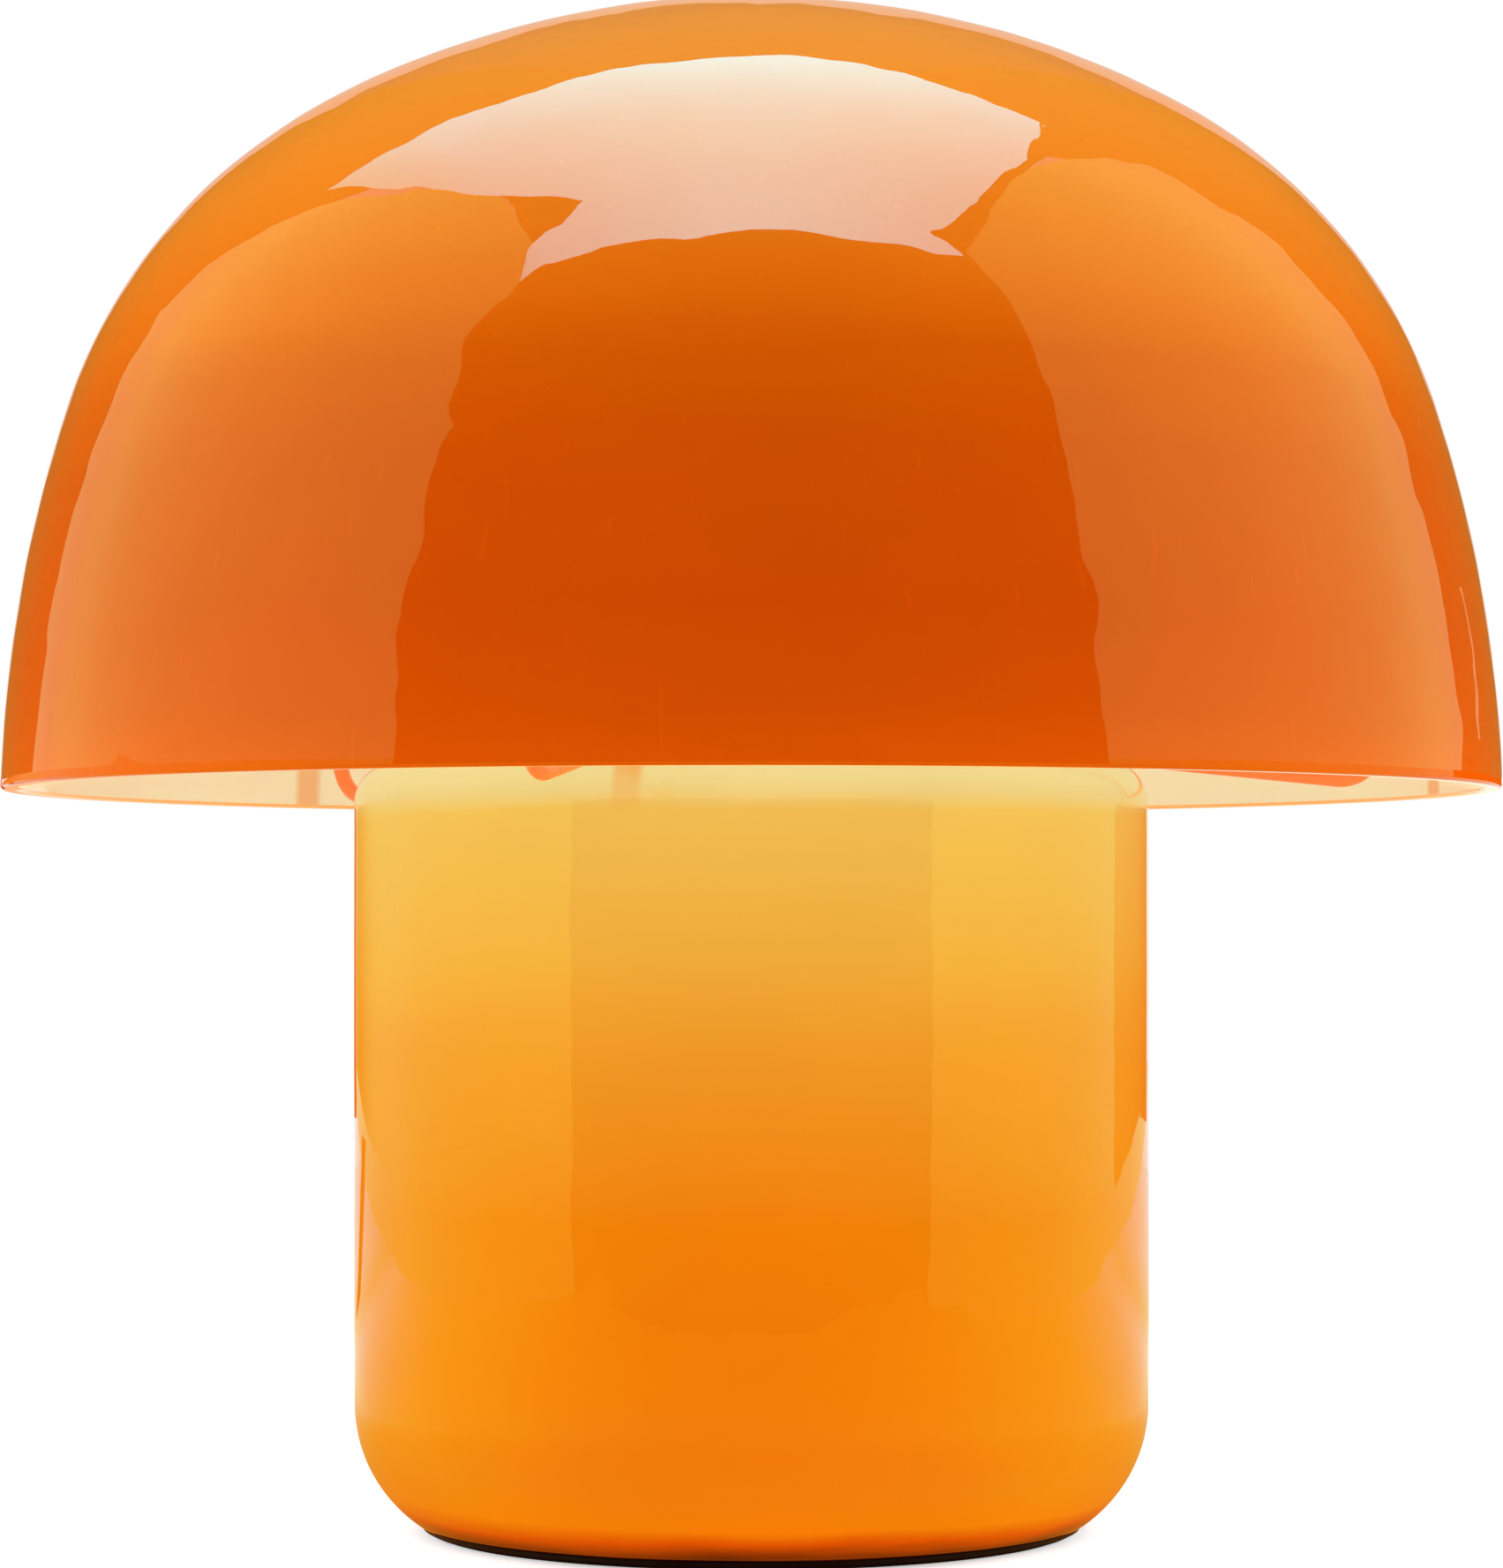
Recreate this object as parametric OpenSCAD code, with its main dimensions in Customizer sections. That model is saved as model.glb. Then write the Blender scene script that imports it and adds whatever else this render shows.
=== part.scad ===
// Mushroom table lamp: a blown cased-glass dome carried by three bent wire arms
// above a blown cased-glass base. A steel foot plate, a threaded tube and the
// lamp holder clamp the base glass between them. Millimetres, +Z up, the origin
// at the centre of the foot's underside, and the back of the lamp towards +Y.

/* [Shade] */
// Outer diameter of the shade at its rim
shade_d = 350; // [330:1:380]
// Height of the shade from its rim to its crown
shade_h = 183.7; // [174:0.1:198]
// Thickness of the shade's glass
shade_wall = 4; // [3:0.5:5]
// Radius of the arc over the crown
crown_r = 212; // [195:1:230]
// Radius of the arc at the shoulder
shoulder_r = 123; // [112:1:134]
// Radius of the arc down the side wall
side_r = 310; // [285:1:340]
// Inward lean of the side wall at the rim, in degrees
rim_lean = 1.5; // [0.5:0.5:3]
// Depth of the rim below the top of the base glass
shade_drop = 6.7; // [4:0.1:10]

/* [Base glass] */
// Outer diameter of the base glass
base_d = 186.8; // [170:0.2:200]
// Height of the base glass by itself
base_h = 177.8; // [165:0.2:190]
// Thickness of the base glass
base_wall = 4; // [3:0.5:5]
// Outer radius of the rounding at the bottom of the base glass
base_corner_r = 34; // [28:1:40]
// Outer radius of the rounding at the top of the base glass
base_shoulder_r = 9.4; // [8:0.2:12]
// Width of the flat lip round the open mouth in the top of the base glass
lip_w = 12; // [9:0.5:16]
// How far the ground underside lies below the centre of the bottom rounding
ground_drop = 27.9; // [24:0.1:27.9]

/* [Foot] */
// Thickness of the soft foot pad
pad_t = 1.2; // [1:0.1:2]
// Width of the pad's rounded lower edge
pad_bevel = 3.6; // [2:0.1:5]
// Margin of the foot plate inside the ground edge of the base glass
plate_inset = 1.5; // [0.5:0.1:4]
// Thickness of the foot plate's steel
plate_t = 1; // [0.8:0.1:1.5]
// Outer diameter of the raised pan in the middle of the foot plate
pan_d = 70; // [60:1:72]
// Height of the raised pan above the foot plate
pan_h = 11; // [9:0.5:14]
// Thickness of the gasket between the foot plate and the glass
gasket_t = 0.4; // [0.3:0.1:1]

/* [Tube and nuts] */
// Outer diameter of the threaded tube
tube_d = 10; // [9:0.5:11]
// Bore of the threaded tube
tube_bore = 7.6; // [6:0.2:8]
// Length of tube that stands out below the nut under the pan
tube_tail = 3; // [1:0.5:4]
// Width of the nuts across their flats
nut_af = 17; // [15:1:19]
// Thickness of each nut
nut_t = 3; // [2.5:0.5:4]
// Diameter of the washer under the pan
washer_d = 26; // [22:1:30]
// Thickness of the washer and of the earth tag
washer_t = 0.8; // [0.5:0.1:1.2]
// Diameter of the side hole that lets the lead into the tube
lead_hole_d = 6; // [4:0.5:7]
// Height of that hole above the lock nut
lead_hole_rise = 10; // [6:1:30]
// Length of the earth tag's tongue beyond the lock nut
tag_reach = 9; // [6:0.5:12]

/* [Lamp holder] */
// Diameter of the lamp holder over its outer thread
holder_d = 40; // [38:0.5:42]
// Height of the holder's threaded shell
shell_h = 38; // [36:0.5:42]
// Height of the holder's cap
cap_h = 20.5; // [20:0.5:26]
// Thickness of the shell and cap
holder_wall = 2.2; // [1.8:0.1:2.6]
// Height of the holder's mouth above the carrier ring
holder_rise = 14; // [12:0.5:16]
// Pitch of the holder's outer thread
holder_pitch = 2.5; // [2:0.5:3]
// Depth of the holder's outer thread
holder_groove = 0.7; // [0.4:0.1:0.9]
// Diameter of the clamping rings that screw onto the holder
clamp_d = 56; // [54:1:60]
// Height of each clamping ring
clamp_h = 6; // [5:0.5:8]
// Thickness of the brass sleeve
sleeve_t = 0.8; // [0.5:0.1:1]
// Height of the contact block
block_h = 5.5; // [5:0.5:8]

/* [Bulb] */
// Largest diameter of the bulb's globe
globe_d = 60; // [55:1:65]
// Length of the bulb from its contact to the top of the globe
bulb_len = 106; // [100:1:112]
// Diameter of the bulb's screw cap
cap_d = 26.2; // [25.8:0.1:26.4]
// Length of the bulb's screw cap with its contact
cap_len = 27; // [26:0.5:28]
// Pitch of the bulb's thread
cap_pitch = 3.6; // [3.4:0.1:3.8]
// Thickness of the globe's glass
globe_wall = 1; // [0.8:0.1:1.5]
// Number of light filaments in the bulb
filament_count = 4; // [3:1:6]
// Length of each filament
filament_len = 30; // [24:1:34]

/* [Carrier] */
// Diameter of the arms' wire
arm_d = 4; // [3.5:0.5:4.5]
// Gap between the arms and the inside of the rim
arm_gap = 12; // [8:0.5:20]
// Radius of the bend at each elbow, to the middle of the wire
elbow_r = 10; // [8:0.5:13]
// Radius of the gentle bend where each arm leaves the base
lip_bend_r = 14; // [10:1:18]
// Inward lean of the risers, in degrees
riser_lean = 9; // [6:0.5:11]
// Height of the right arm's elbow above the rim, to the wire's underside
elbow_right = 2.4; // [0:0.1:3]
// Height of the left arm's elbow above the rim, to the wire's underside
elbow_left = 0.4; // [-1:0.1:3]
// Height of the front arm's elbow above the rim, to the wire's underside
elbow_front = -2; // [-3:0.1:1]
// Direction of the right arm, in degrees clockwise from the back
arm_turn = 77; // [60:1:90]
// Height of the carrier ring
ring_h = 6.4; // [6:0.2:8]
// Outer diameter of the carrier ring
ring_d = 54; // [50:1:56]
// Wall of the soft sleeves where the arms lie on the glass
sleeve_wall = 0.75; // [0.5:0.05:1]
// Wall of the soft caps on the arms' ends
tip_wall = 1.5; // [1:0.1:2]
// Length of wire covered by each soft cap
tip_len = 12; // [8:1:16]

/* [Cable inlet] */
// Height of the gland's flange above the bottom rounding of the base glass
inlet_rise = 2.5; // [1:0.5:20]
// Bore of the cable gland
gland_bore = 7; // [6:0.2:8]
// Outer diameter of the gland's body
gland_d = 12; // [11:0.2:13]
// Diameter of the gland's outer flange
gland_flange_d = 18; // [16:0.5:20]
// Thickness of the gland's outer flange
gland_flange_t = 2.5; // [2:0.5:4]
// Length of the gland's body inside the glass wall
gland_inner = 8; // [6:0.5:12]
// Thickness of the gland's nut
gland_nut_t = 3.5; // [3:0.5:5]

/* [Hidden] */
$fn = 96;

// Clearances
thread_gap = 0.05;   // between a thread's crests, each side
slip_gap = 0.1;      // between pieces that slide together by hand, each side
rest_gap = 0.05;     // under a piece that rests on glass
lift_gap = 0.3;      // between the shade or bulb and what carries it
pan_gap = 3;         // between the pan and the ground hole in the glass floor
cap_gap = 0.5;       // between the bulb's screw cap and its brass sleeve, each side
pad_gap = 0.7;       // from the pad's edge to the foot plate's edge
pad_hole_gap = 2;    // from the ground hole's edge to the pad's and the gasket's inner edge
tube_over = 1;       // how far the tube stands out inside the holder's cap
sleeve_over = 1;     // how far a soft sleeve runs past the lip's flat, at each end
arc_steps = 14;      // flats along each arc of an outline
lip_steps = 3;       // flats along each arm's gentle bend past the lip
wire_sides = 16;     // sides of the bent wires
overshoot = 1;       // how far a cutting tool runs past the face it cuts

// Points along an arc, with the angle measured from upright
function arc(c, r, from, to, n = arc_steps) =
    [for (i = [0 : n]) let (a = from + (to - from) * i / n) c + r * [sin(a), cos(a)]];

// Heights, from the table up
plate_z = pad_t;
glass_z = plate_z + plate_t + gasket_t;
base_top = glass_z + base_h;
shade_z = base_top - shade_drop;
pan_z = plate_z + pan_h;
tube_z = pan_z - washer_t - nut_t - tube_tail;

// The base glass
base_r = base_d / 2;
corner_c = [base_r - base_corner_r, glass_z + ground_drop];
corner_angle = 180 - acos(ground_drop / base_corner_r);
inner_corner_r = base_corner_r - base_wall;
inner_angle = 180 - acos((ground_drop - base_wall) / inner_corner_r);
lip_c = [base_r - base_shoulder_r, base_top - base_shoulder_r];
lip_edge_r = base_wall / 2;
lip_edge_c = [lip_c[0] - lip_w + lip_edge_r, base_top - lip_edge_r];

// The foot
plate_r = corner_c[0] + base_corner_r * sin(corner_angle) - plate_inset;
pan_r = pan_d / 2;
floor_hole_r = pan_r + pan_gap;
ring_inner_r = floor_hole_r + pad_hole_gap;
tube_r = tube_d / 2;
tag_w = 6;
tag_rim = 0.5;
tag_hole_r = 1.6;

// The shade's three tangent arcs: side, shoulder and crown
rim_r = shade_d / 2;
side_angle = 90 - rim_lean;
side_c = [rim_r, shade_z] - side_r * [sin(side_angle), cos(side_angle)];
crown_c = [0, shade_z + shade_h - crown_r];
centre_gap = norm(side_c - crown_c);
centre_way = (side_c - crown_c) / centre_gap;
crown_reach = crown_r - shoulder_r;
side_reach = side_r - shoulder_r;
along = (crown_reach ^ 2 - side_reach ^ 2 + centre_gap ^ 2) / (2 * centre_gap);
across = sqrt(crown_reach ^ 2 - along ^ 2);
shoulder_c = crown_c + along * centre_way + across * [centre_way[1], -centre_way[0]];
crown_angle = atan2(shoulder_c[0], shoulder_c[1] - crown_c[1]);
shoulder_angle = atan2(shoulder_c[0] - side_c[0], shoulder_c[1] - side_c[1]);

// The carrier
arm_r = arm_d / 2;
arm_z = base_top + rest_gap + sleeve_wall + thread_gap + arm_r;
riser_r = rim_r - shade_wall - arm_gap - arm_r;
ring_bore_r = holder_d / 2 + slip_gap;
ring_z = arm_z - ring_h / 2;
arm_start = (ring_bore_r + ring_d / 2) / 2;
lip_bend_x = lip_c[0] + 2 * sleeve_over;
elbow_x = riser_r - elbow_r;
tip_r = arm_r + tip_wall;
tip_reach = shoulder_r - shade_wall - lift_gap - tip_r;

// The lamp holder, hung from the carrier ring
holder_top = ring_z + ring_h + holder_rise;
shell_z = holder_top - shell_h;
cap_z = shell_z - cap_h;
shell_r = holder_d / 2;
neck_wall = 4;
neck_r = tube_r + neck_wall;
neck_h = 9;
neck_bevel = 1;
dome_r = shell_r - neck_r;
grub_r = 1.5;
grub_rise = 4;
grub_sink = 0.3;
grub_slot_w = 0.4;
spigot_h = 3;
thread_margin = 3;
mouth_bevel = 0.8;
mouth_lip = 2;
sleeve_bore_r = cap_d / 2 + cap_gap;
sleeve_r = sleeve_bore_r + sleeve_t;
block_z = shell_z + spigot_h;
block_r = shell_r - holder_wall - slip_gap;
block_top = block_z + block_h;
tube_top = cap_z + neck_h + tube_over;
contact_rise = 3.2;
contact_t = 0.5;
contact_w = 5;
contact_foot = -9;
contact_bend = -5;
contact_knee = -1.5;
contact_end = 3;
screw_place = 10;
screw_r = 1.5;
screw_len = 4;
screw_head_r = 2.6;
screw_head_h = 2.2;
slot_w = 0.8;
slot_deep = 1;
knurls = 24;
knurl_r = 1.4;
knurl_out = 0.6;

// The bulb, from its contact up
bulb_z = block_top + contact_rise + contact_t + lift_gap;
tip_h = 1.2;
tip_contact_r = 4.6;
tip_bevel = 0.5;
insulator_h = 4;
insulator_r = 5.4;
insulator_plug = 1;
cap_r = cap_d / 2;
groove = 0.9;
root_share = 0.1;
shell_wall = 0.4;
cap_plug = 5;
neck_gap = 0.1;
globe_r = globe_d / 2;
globe_c = [0, bulb_z + bulb_len - globe_r];
globe_neck_r = cap_r - groove - shell_wall - neck_gap;
globe_flare = 128;
globe_foot_in = 0.2;
globe_foot_h = 2;
globe_waist_out = 2;
globe_waist_h = 12;
globe_foot_r = cap_r - globe_foot_in;
globe_waist_r = cap_r + globe_waist_out;
globe_steps = 24;
stem_flare_t = 1;
stem_r = 4;
stem_h = 24;
rod_r = 1.5;
filament_r = 1;
filament_place = 8;
wire_r = 0.5;
filament_z = bulb_z + cap_len + stem_h;

// The cable inlet
inlet_z = corner_c[1] + inlet_rise + gland_flange_d / 2;
gland_r = gland_d / 2;

// A hexagon nut standing on height z
module hex_nut(z, across_flats, thickness, bore_r) {
    translate([0, 0, z])
        difference() {
            cylinder(h = thickness, d = across_flats / cos(30), $fn = 6);
            translate([0, 0, -overshoot])
                cylinder(h = thickness + 2 * overshoot, r = bore_r);
        }
}

// A ring between two radii, standing on height z
module ring(z, h, inner_r, outer_r) {
    translate([0, 0, z])
        difference() {
            cylinder(h = h, r = outer_r);
            translate([0, 0, -overshoot]) cylinder(h = h + 2 * overshoot, r = inner_r);
        }
}

// Soft ring under the plate, rounded at its lower edge
module foot_pad() color([0.02, 0.02, 0.02]) {
    edge_r = plate_r - pad_gap;
    rotate_extrude()
        polygon(concat(
            [[ring_inner_r, 0]],
            [for (a = [0 : 30 : 90]) [edge_r - pad_bevel * (1 - sin(a)), pad_t * (1 - cos(a))]],
            [[ring_inner_r, pad_t]]
        ));
}

// Steel disc with a raised pan, which leaves room for the nut below it
module foot_plate() color([0.05, 0.05, 0.05])
    rotate_extrude()
        polygon([
            [tube_r + slip_gap, pan_z], [pan_r - plate_t, pan_z],
            [pan_r - plate_t, plate_z], [plate_r, plate_z],
            [plate_r, plate_z + plate_t], [pan_r, plate_z + plate_t],
            [pan_r, pan_z + plate_t], [tube_r + slip_gap, pan_z + plate_t]
        ]);

module glass_gasket() color([0.6, 0.6, 0.58])
    ring(plate_z + plate_t, gasket_t, ring_inner_r, plate_r - plate_inset);

// Blown and ground: a rounded floor with a hole, a straight wall, a turned-in lip
module base_glass() color([0.95, 0.6, 0.15])
    difference() {
        rotate_extrude()
            polygon(concat(
                [[floor_hole_r, glass_z]],
                arc(corner_c, base_corner_r, corner_angle, 90),
                arc(lip_c, base_shoulder_r, 90, 0),
                arc(lip_edge_c, lip_edge_r, 0, -180),
                arc(lip_c, base_shoulder_r - base_wall, 0, 90),
                arc(corner_c, inner_corner_r, 90, inner_angle),
                [[floor_hole_r, glass_z + base_wall]]
            ));
        translate([0, base_r / 2, inlet_z])
            rotate([-90, 0, 0]) cylinder(h = base_r, r = gland_r + slip_gap);
    }

// Bush through the back wall; its flange lies outside
module cable_gland() color([0.1, 0.1, 0.1]) {
    inner_len = base_wall + gland_inner;
    translate([0, base_r + rest_gap, inlet_z]) rotate([-90, 0, 0])
        difference() {
            union() {
                cylinder(h = gland_flange_t, d = gland_flange_d);
                translate([0, 0, -inner_len])
                    cylinder(h = inner_len + gland_flange_t, r = gland_r);
            }
            translate([0, 0, -inner_len - overshoot])
                cylinder(h = inner_len + gland_flange_t + 2 * overshoot, d = gland_bore);
        }
}

// Nut on the gland, its corners against the inside of the curved wall
module gland_nut() color([0.1, 0.1, 0.1]) {
    corner = gland_flange_d / 2 / cos(30);
    seat_y = sqrt((base_r - base_wall) ^ 2 - corner ^ 2) - rest_gap;
    translate([0, seat_y - gland_nut_t, inlet_z]) rotate([-90, 0, 0])
        hex_nut(0, gland_flange_d, gland_nut_t, gland_r + thread_gap);
}

module plate_washer() color([0.7, 0.7, 0.7])
    ring(pan_z - washer_t, washer_t, tube_r + slip_gap, washer_d / 2);

module plate_nut() color([0.75, 0.65, 0.35])
    hex_nut(pan_z - washer_t - nut_t, nut_af, nut_t, tube_r + thread_gap);

// Ring tag on the pan, with a tongue for the earth wire
module earth_tag() color([0.8, 0.7, 0.4])
    translate([0, 0, pan_z + plate_t])
        difference() {
            union() {
                cylinder(h = washer_t, r = nut_af / 2 + tag_rim);
                translate([0, -tag_w / 2, 0]) cube([nut_af / 2 + tag_reach, tag_w, washer_t]);
            }
            translate([0, 0, -overshoot])
                cylinder(h = washer_t + 2 * overshoot, r = tube_r + slip_gap);
            translate([nut_af / 2 + tag_reach - tag_w / 2, 0, -overshoot])
                cylinder(h = washer_t + 2 * overshoot, r = tag_hole_r);
        }

module lock_nut() color([0.75, 0.65, 0.35])
    hex_nut(pan_z + plate_t + washer_t, nut_af, nut_t, tube_r + thread_gap);

// Tube from the nut under the pan to the holder, with a side hole towards the back
module threaded_tube() color([0.75, 0.7, 0.5])
    difference() {
        ring(tube_z, tube_top - tube_z, tube_bore / 2, tube_r);
        translate([0, 0, pan_z + plate_t + washer_t + nut_t + lead_hole_rise])
            rotate([-90, 0, 0]) cylinder(h = tube_d, d = lead_hole_d);
    }

// Lower half of the lamp holder: a neck on the tube, a dome, and a spigot at the top
module holder_cap() color([0.93, 0.93, 0.9]) {
    dome_c = [neck_r, cap_z + neck_h + dome_r];
    inner_r = block_r - holder_wall;
    inner_dome_r = inner_r - neck_r;
    difference() {
        rotate_extrude()
            polygon(concat(
                [[tube_r + thread_gap, cap_z], [neck_r - neck_bevel, cap_z]],
                [[neck_r, cap_z + neck_bevel]],
                arc(dome_c, dome_r, 180, 90),
                [[shell_r, shell_z], [block_r, shell_z], [block_r, block_z]],
                [[inner_r, block_z]],
                arc(dome_c, inner_dome_r, 90, 180),
                [[tube_r + thread_gap, dome_c[1] - inner_dome_r]]
            ));
        translate([0, 0, cap_z + grub_rise]) rotate([90, 0, 0])
            cylinder(h = neck_r + overshoot, r = grub_r + thread_gap);
    }
}

// Slotted grub screw that locks the cap on the tube
module grub_screw() color([0.6, 0.6, 0.6]) {
    len = neck_r - tube_r - grub_sink;
    translate([0, -tube_r - thread_gap, cap_z + grub_rise]) rotate([90, 0, 0])
        difference() {
            cylinder(h = len, r = grub_r);
            translate([-grub_r, -grub_slot_w / 2, len - slot_deep])
                cube([2 * grub_r, grub_slot_w, slot_deep + overshoot]);
        }
}

// Upper half of the lamp holder, with a thread outside for the clamping rings
module holder_shell() color([0.93, 0.93, 0.9]) {
    turns = floor((shell_h - 2 * thread_margin) / holder_pitch);
    thread_z = shell_z + thread_margin;
    thread = [for (i = [0 : turns - 1], half = [0, 0.5])
        [shell_r - holder_groove * 2 * half, thread_z + (i + half) * holder_pitch]];
    mouth_r = sleeve_r - slip_gap;
    rotate_extrude()
        polygon(concat(
            [[shell_r - holder_wall, shell_z], [shell_r, shell_z]],
            thread,
            [[shell_r, thread_z + turns * holder_pitch], [shell_r, holder_top - mouth_bevel]],
            [[shell_r - mouth_bevel, holder_top], [mouth_r, holder_top]],
            [[mouth_r, holder_top - mouth_lip]],
            [[shell_r - holder_wall, holder_top - mouth_lip]]
        ));
}

// Ceramic block under the sleeve, carried on the cap's spigot
module contact_block() color([0.9, 0.88, 0.82])
    difference() {
        translate([0, 0, block_z]) cylinder(h = block_h, r = block_r);
        for (side = [-1, 1])
            translate([side * screw_place, 0, block_z - overshoot])
                cylinder(h = screw_len + slip_gap + overshoot, r = screw_r + thread_gap);
    }

// Bent bronze tongue that lies under the bulb's contact
module centre_contact() color([0.75, 0.5, 0.25]) {
    line = [[contact_foot, 0], [contact_bend, 0], [contact_knee, contact_rise],
        [contact_end, contact_rise]];
    translate([0, contact_w / 2, block_top]) rotate([90, 0, 0])
        linear_extrude(height = contact_w)
            polygon(concat(line, [for (i = [3 : -1 : 0]) line[i] + [0, contact_t]]));
}

// Two terminal screws up into the block, their heads inside the cap
module terminal_screws() color([0.8, 0.75, 0.5])
    for (side = [-1, 1])
        translate([side * screw_place, 0, block_z])
            difference() {
                union() {
                    translate([0, 0, -screw_head_h])
                        cylinder(h = screw_head_h, r = screw_head_r);
                    cylinder(h = screw_len, r = screw_r);
                }
                translate([-screw_head_r, -slot_w / 2, -screw_head_h - overshoot])
                    cube([2 * screw_head_r, slot_w, slot_deep + overshoot]);
            }

// Brass sleeve that takes the bulb's screw cap, drawn without its thread
module screw_sleeve() color([0.8, 0.65, 0.3])
    ring(block_top, holder_top - mouth_lip - block_top, sleeve_bore_r, sleeve_r);

// Ring with a knurled edge on the holder's thread, standing on height z
module clamp_ring(z) color([0.93, 0.93, 0.9])
    difference() {
        ring(z, clamp_h, shell_r + thread_gap, clamp_d / 2);
        for (i = [0 : knurls - 1])
            rotate(i * 360 / knurls)
                translate([clamp_d / 2 + knurl_out, 0, z - overshoot])
                    cylinder(h = clamp_h + 2 * overshoot, r = knurl_r);
    }

module clamp_ring_lower() clamp_ring(ring_z - clamp_h);
module clamp_ring_upper() clamp_ring(ring_z + ring_h);

// Turns its children to one of the three arms, which run along +X before that
module at_arm(i) rotate(90 - arm_turn + i * 120) children();

// Ring round the holder, with a socket for each arm
module carrier_ring() color([0.9, 0.5, 0.25])
    difference() {
        ring(ring_z, ring_h, ring_bore_r, ring_d / 2);
        for (i = [0 : 2])
            at_arm(i)
                translate([arm_start, 0, arm_z]) rotate([0, 90, 0])
                    cylinder(h = ring_d, r = arm_r + thread_gap);
    }

// Centre of an arm's elbow, in the arm's own upright plane
function elbow_centre(rise) = [elbow_x, shade_z + rise + arm_r + elbow_r];

// Where a riser ends, so that its cap's ball just clears the shade's shoulder arc
function riser_top(rise) =
    let (
        way = [-sin(riser_lean), cos(riser_lean)],
        start = elbow_centre(rise) + elbow_r * [cos(riser_lean), sin(riser_lean)],
        off = start - shoulder_c,
        b = off * way
    )
    start + (sqrt(b ^ 2 - off * off + tip_reach ^ 2) - b) * way;

// Points and downward slopes along an arm: straight, a little down past the lip,
// straight along the tangent between the two bends, round the elbow, and up
function arm_path(rise) =
    let (
        elbow_c = elbow_centre(rise),
        bend_c = [lip_bend_x, arm_z - lip_bend_r],
        way = elbow_c - bend_c,
        slope = atan2(way[0], way[1]) - acos((lip_bend_r + elbow_r) / norm(way)),
        last = -90 - riser_lean
    )
    concat(
        [[[arm_start + thread_gap, arm_z], 0]],
        [for (i = [0 : lip_steps]) let (a = slope * i / lip_steps)
            [bend_c + lip_bend_r * [sin(a), cos(a)], a]],
        [for (i = [0 : arc_steps]) let (a = slope + (last - slope) * i / arc_steps)
            [elbow_c - elbow_r * [sin(a), cos(a)], a]],
        [[riser_top(rise), last]]
    );

// One bent wire: a ring of points round each place on its path, skinned over
module wire_arm(rise) color([0.95, 0.5, 0.25]) {
    path = arm_path(rise);
    n = wire_sides;
    last = len(path) - 1;
    points = [for (step = path, k = [0 : n - 1])
        let (u = 360 * k / n, out = arm_r * cos(u), p = step[0], a = step[1])
        [p[0] + out * sin(a), arm_r * sin(u), p[1] + out * cos(a)]];
    sides = [for (j = [0 : last - 1], k = [0 : n - 1], half = [0, 1])
        let (a = j * n + k, b = j * n + (k + 1) % n)
        half == 0 ? [a, b, b + n] : [a, b + n, a + n]];
    polyhedron(points, concat(
        [[for (k = [n - 1 : -1 : 0]) k]], sides, [[for (k = [0 : n - 1]) last * n + k]]
    ));
}

// Soft sleeve on an arm where it lies on the lip of the base glass
module arm_sleeve() color([0.85, 0.85, 0.82])
    translate([lip_c[0] - lip_w - sleeve_over, 0, arm_z]) rotate([0, 90, 0])
        ring(0, lip_w + 2 * sleeve_over, arm_r + thread_gap, arm_r + thread_gap + sleeve_wall);

// Soft cap over the end of a riser, its ball under the inside of the shade
module arm_tip(rise) color([0.85, 0.85, 0.82]) {
    top = riser_top(rise);
    translate([top[0], 0, top[1]]) rotate([0, -riser_lean, 0])
        difference() {
            union() {
                sphere(r = tip_r);
                translate([0, 0, -tip_len]) cylinder(h = tip_len, r = tip_r);
            }
            translate([0, 0, -tip_len - overshoot])
                cylinder(h = tip_len + overshoot, r = arm_r + thread_gap);
        }
}

module arm_right() at_arm(0) wire_arm(elbow_right);
module arm_left() at_arm(1) wire_arm(elbow_left);
module arm_front() at_arm(2) wire_arm(elbow_front);
module sleeve_right() at_arm(0) arm_sleeve();
module sleeve_left() at_arm(1) arm_sleeve();
module sleeve_front() at_arm(2) arm_sleeve();
module tip_right() at_arm(0) arm_tip(elbow_right);
module tip_left() at_arm(1) arm_tip(elbow_left);
module tip_front() at_arm(2) arm_tip(elbow_front);

// Thin-walled globe: a ball drawn in to a neck that plugs into the screw cap
module bulb_globe() color([0.98, 0.96, 0.9]) {
    neck_top = bulb_z + cap_len;
    neck = [[globe_neck_r, neck_top - cap_plug], [globe_neck_r, neck_top],
        [globe_foot_r, neck_top + globe_foot_h], [globe_waist_r, neck_top + globe_waist_h]];
    rotate_extrude()
        polygon(concat(
            neck,
            arc(globe_c, globe_r, globe_flare, 0, globe_steps),
            arc(globe_c, globe_r - globe_wall, 0, globe_flare, globe_steps),
            [for (i = [3 : -1 : 0]) neck[i] - [globe_wall, 0]]
        ));
}

// Thin plated shell with a rolled thread
module bulb_cap() color([0.8, 0.8, 0.78]) {
    bottom = bulb_z + tip_h + insulator_h;
    top = bulb_z + cap_len;
    root_r = cap_r - groove;
    turns = floor((top - bottom - cap_plug - insulator_plug) / cap_pitch);
    thread = [for (i = [0 : turns - 1], p = [[root_share, 1], [0.5, 0], [1 - root_share, 1]])
        [cap_r - groove * p[1], bottom + insulator_plug + (i + p[0]) * cap_pitch]];
    inner = [for (i = [len(thread) - 1 : -1 : 0]) thread[i] - [shell_wall, 0]];
    rotate_extrude()
        polygon(concat(
            [[root_r - shell_wall, bottom], [root_r, bottom]],
            thread,
            [[root_r, top], [root_r - shell_wall, top]],
            inner
        ));
}

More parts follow.
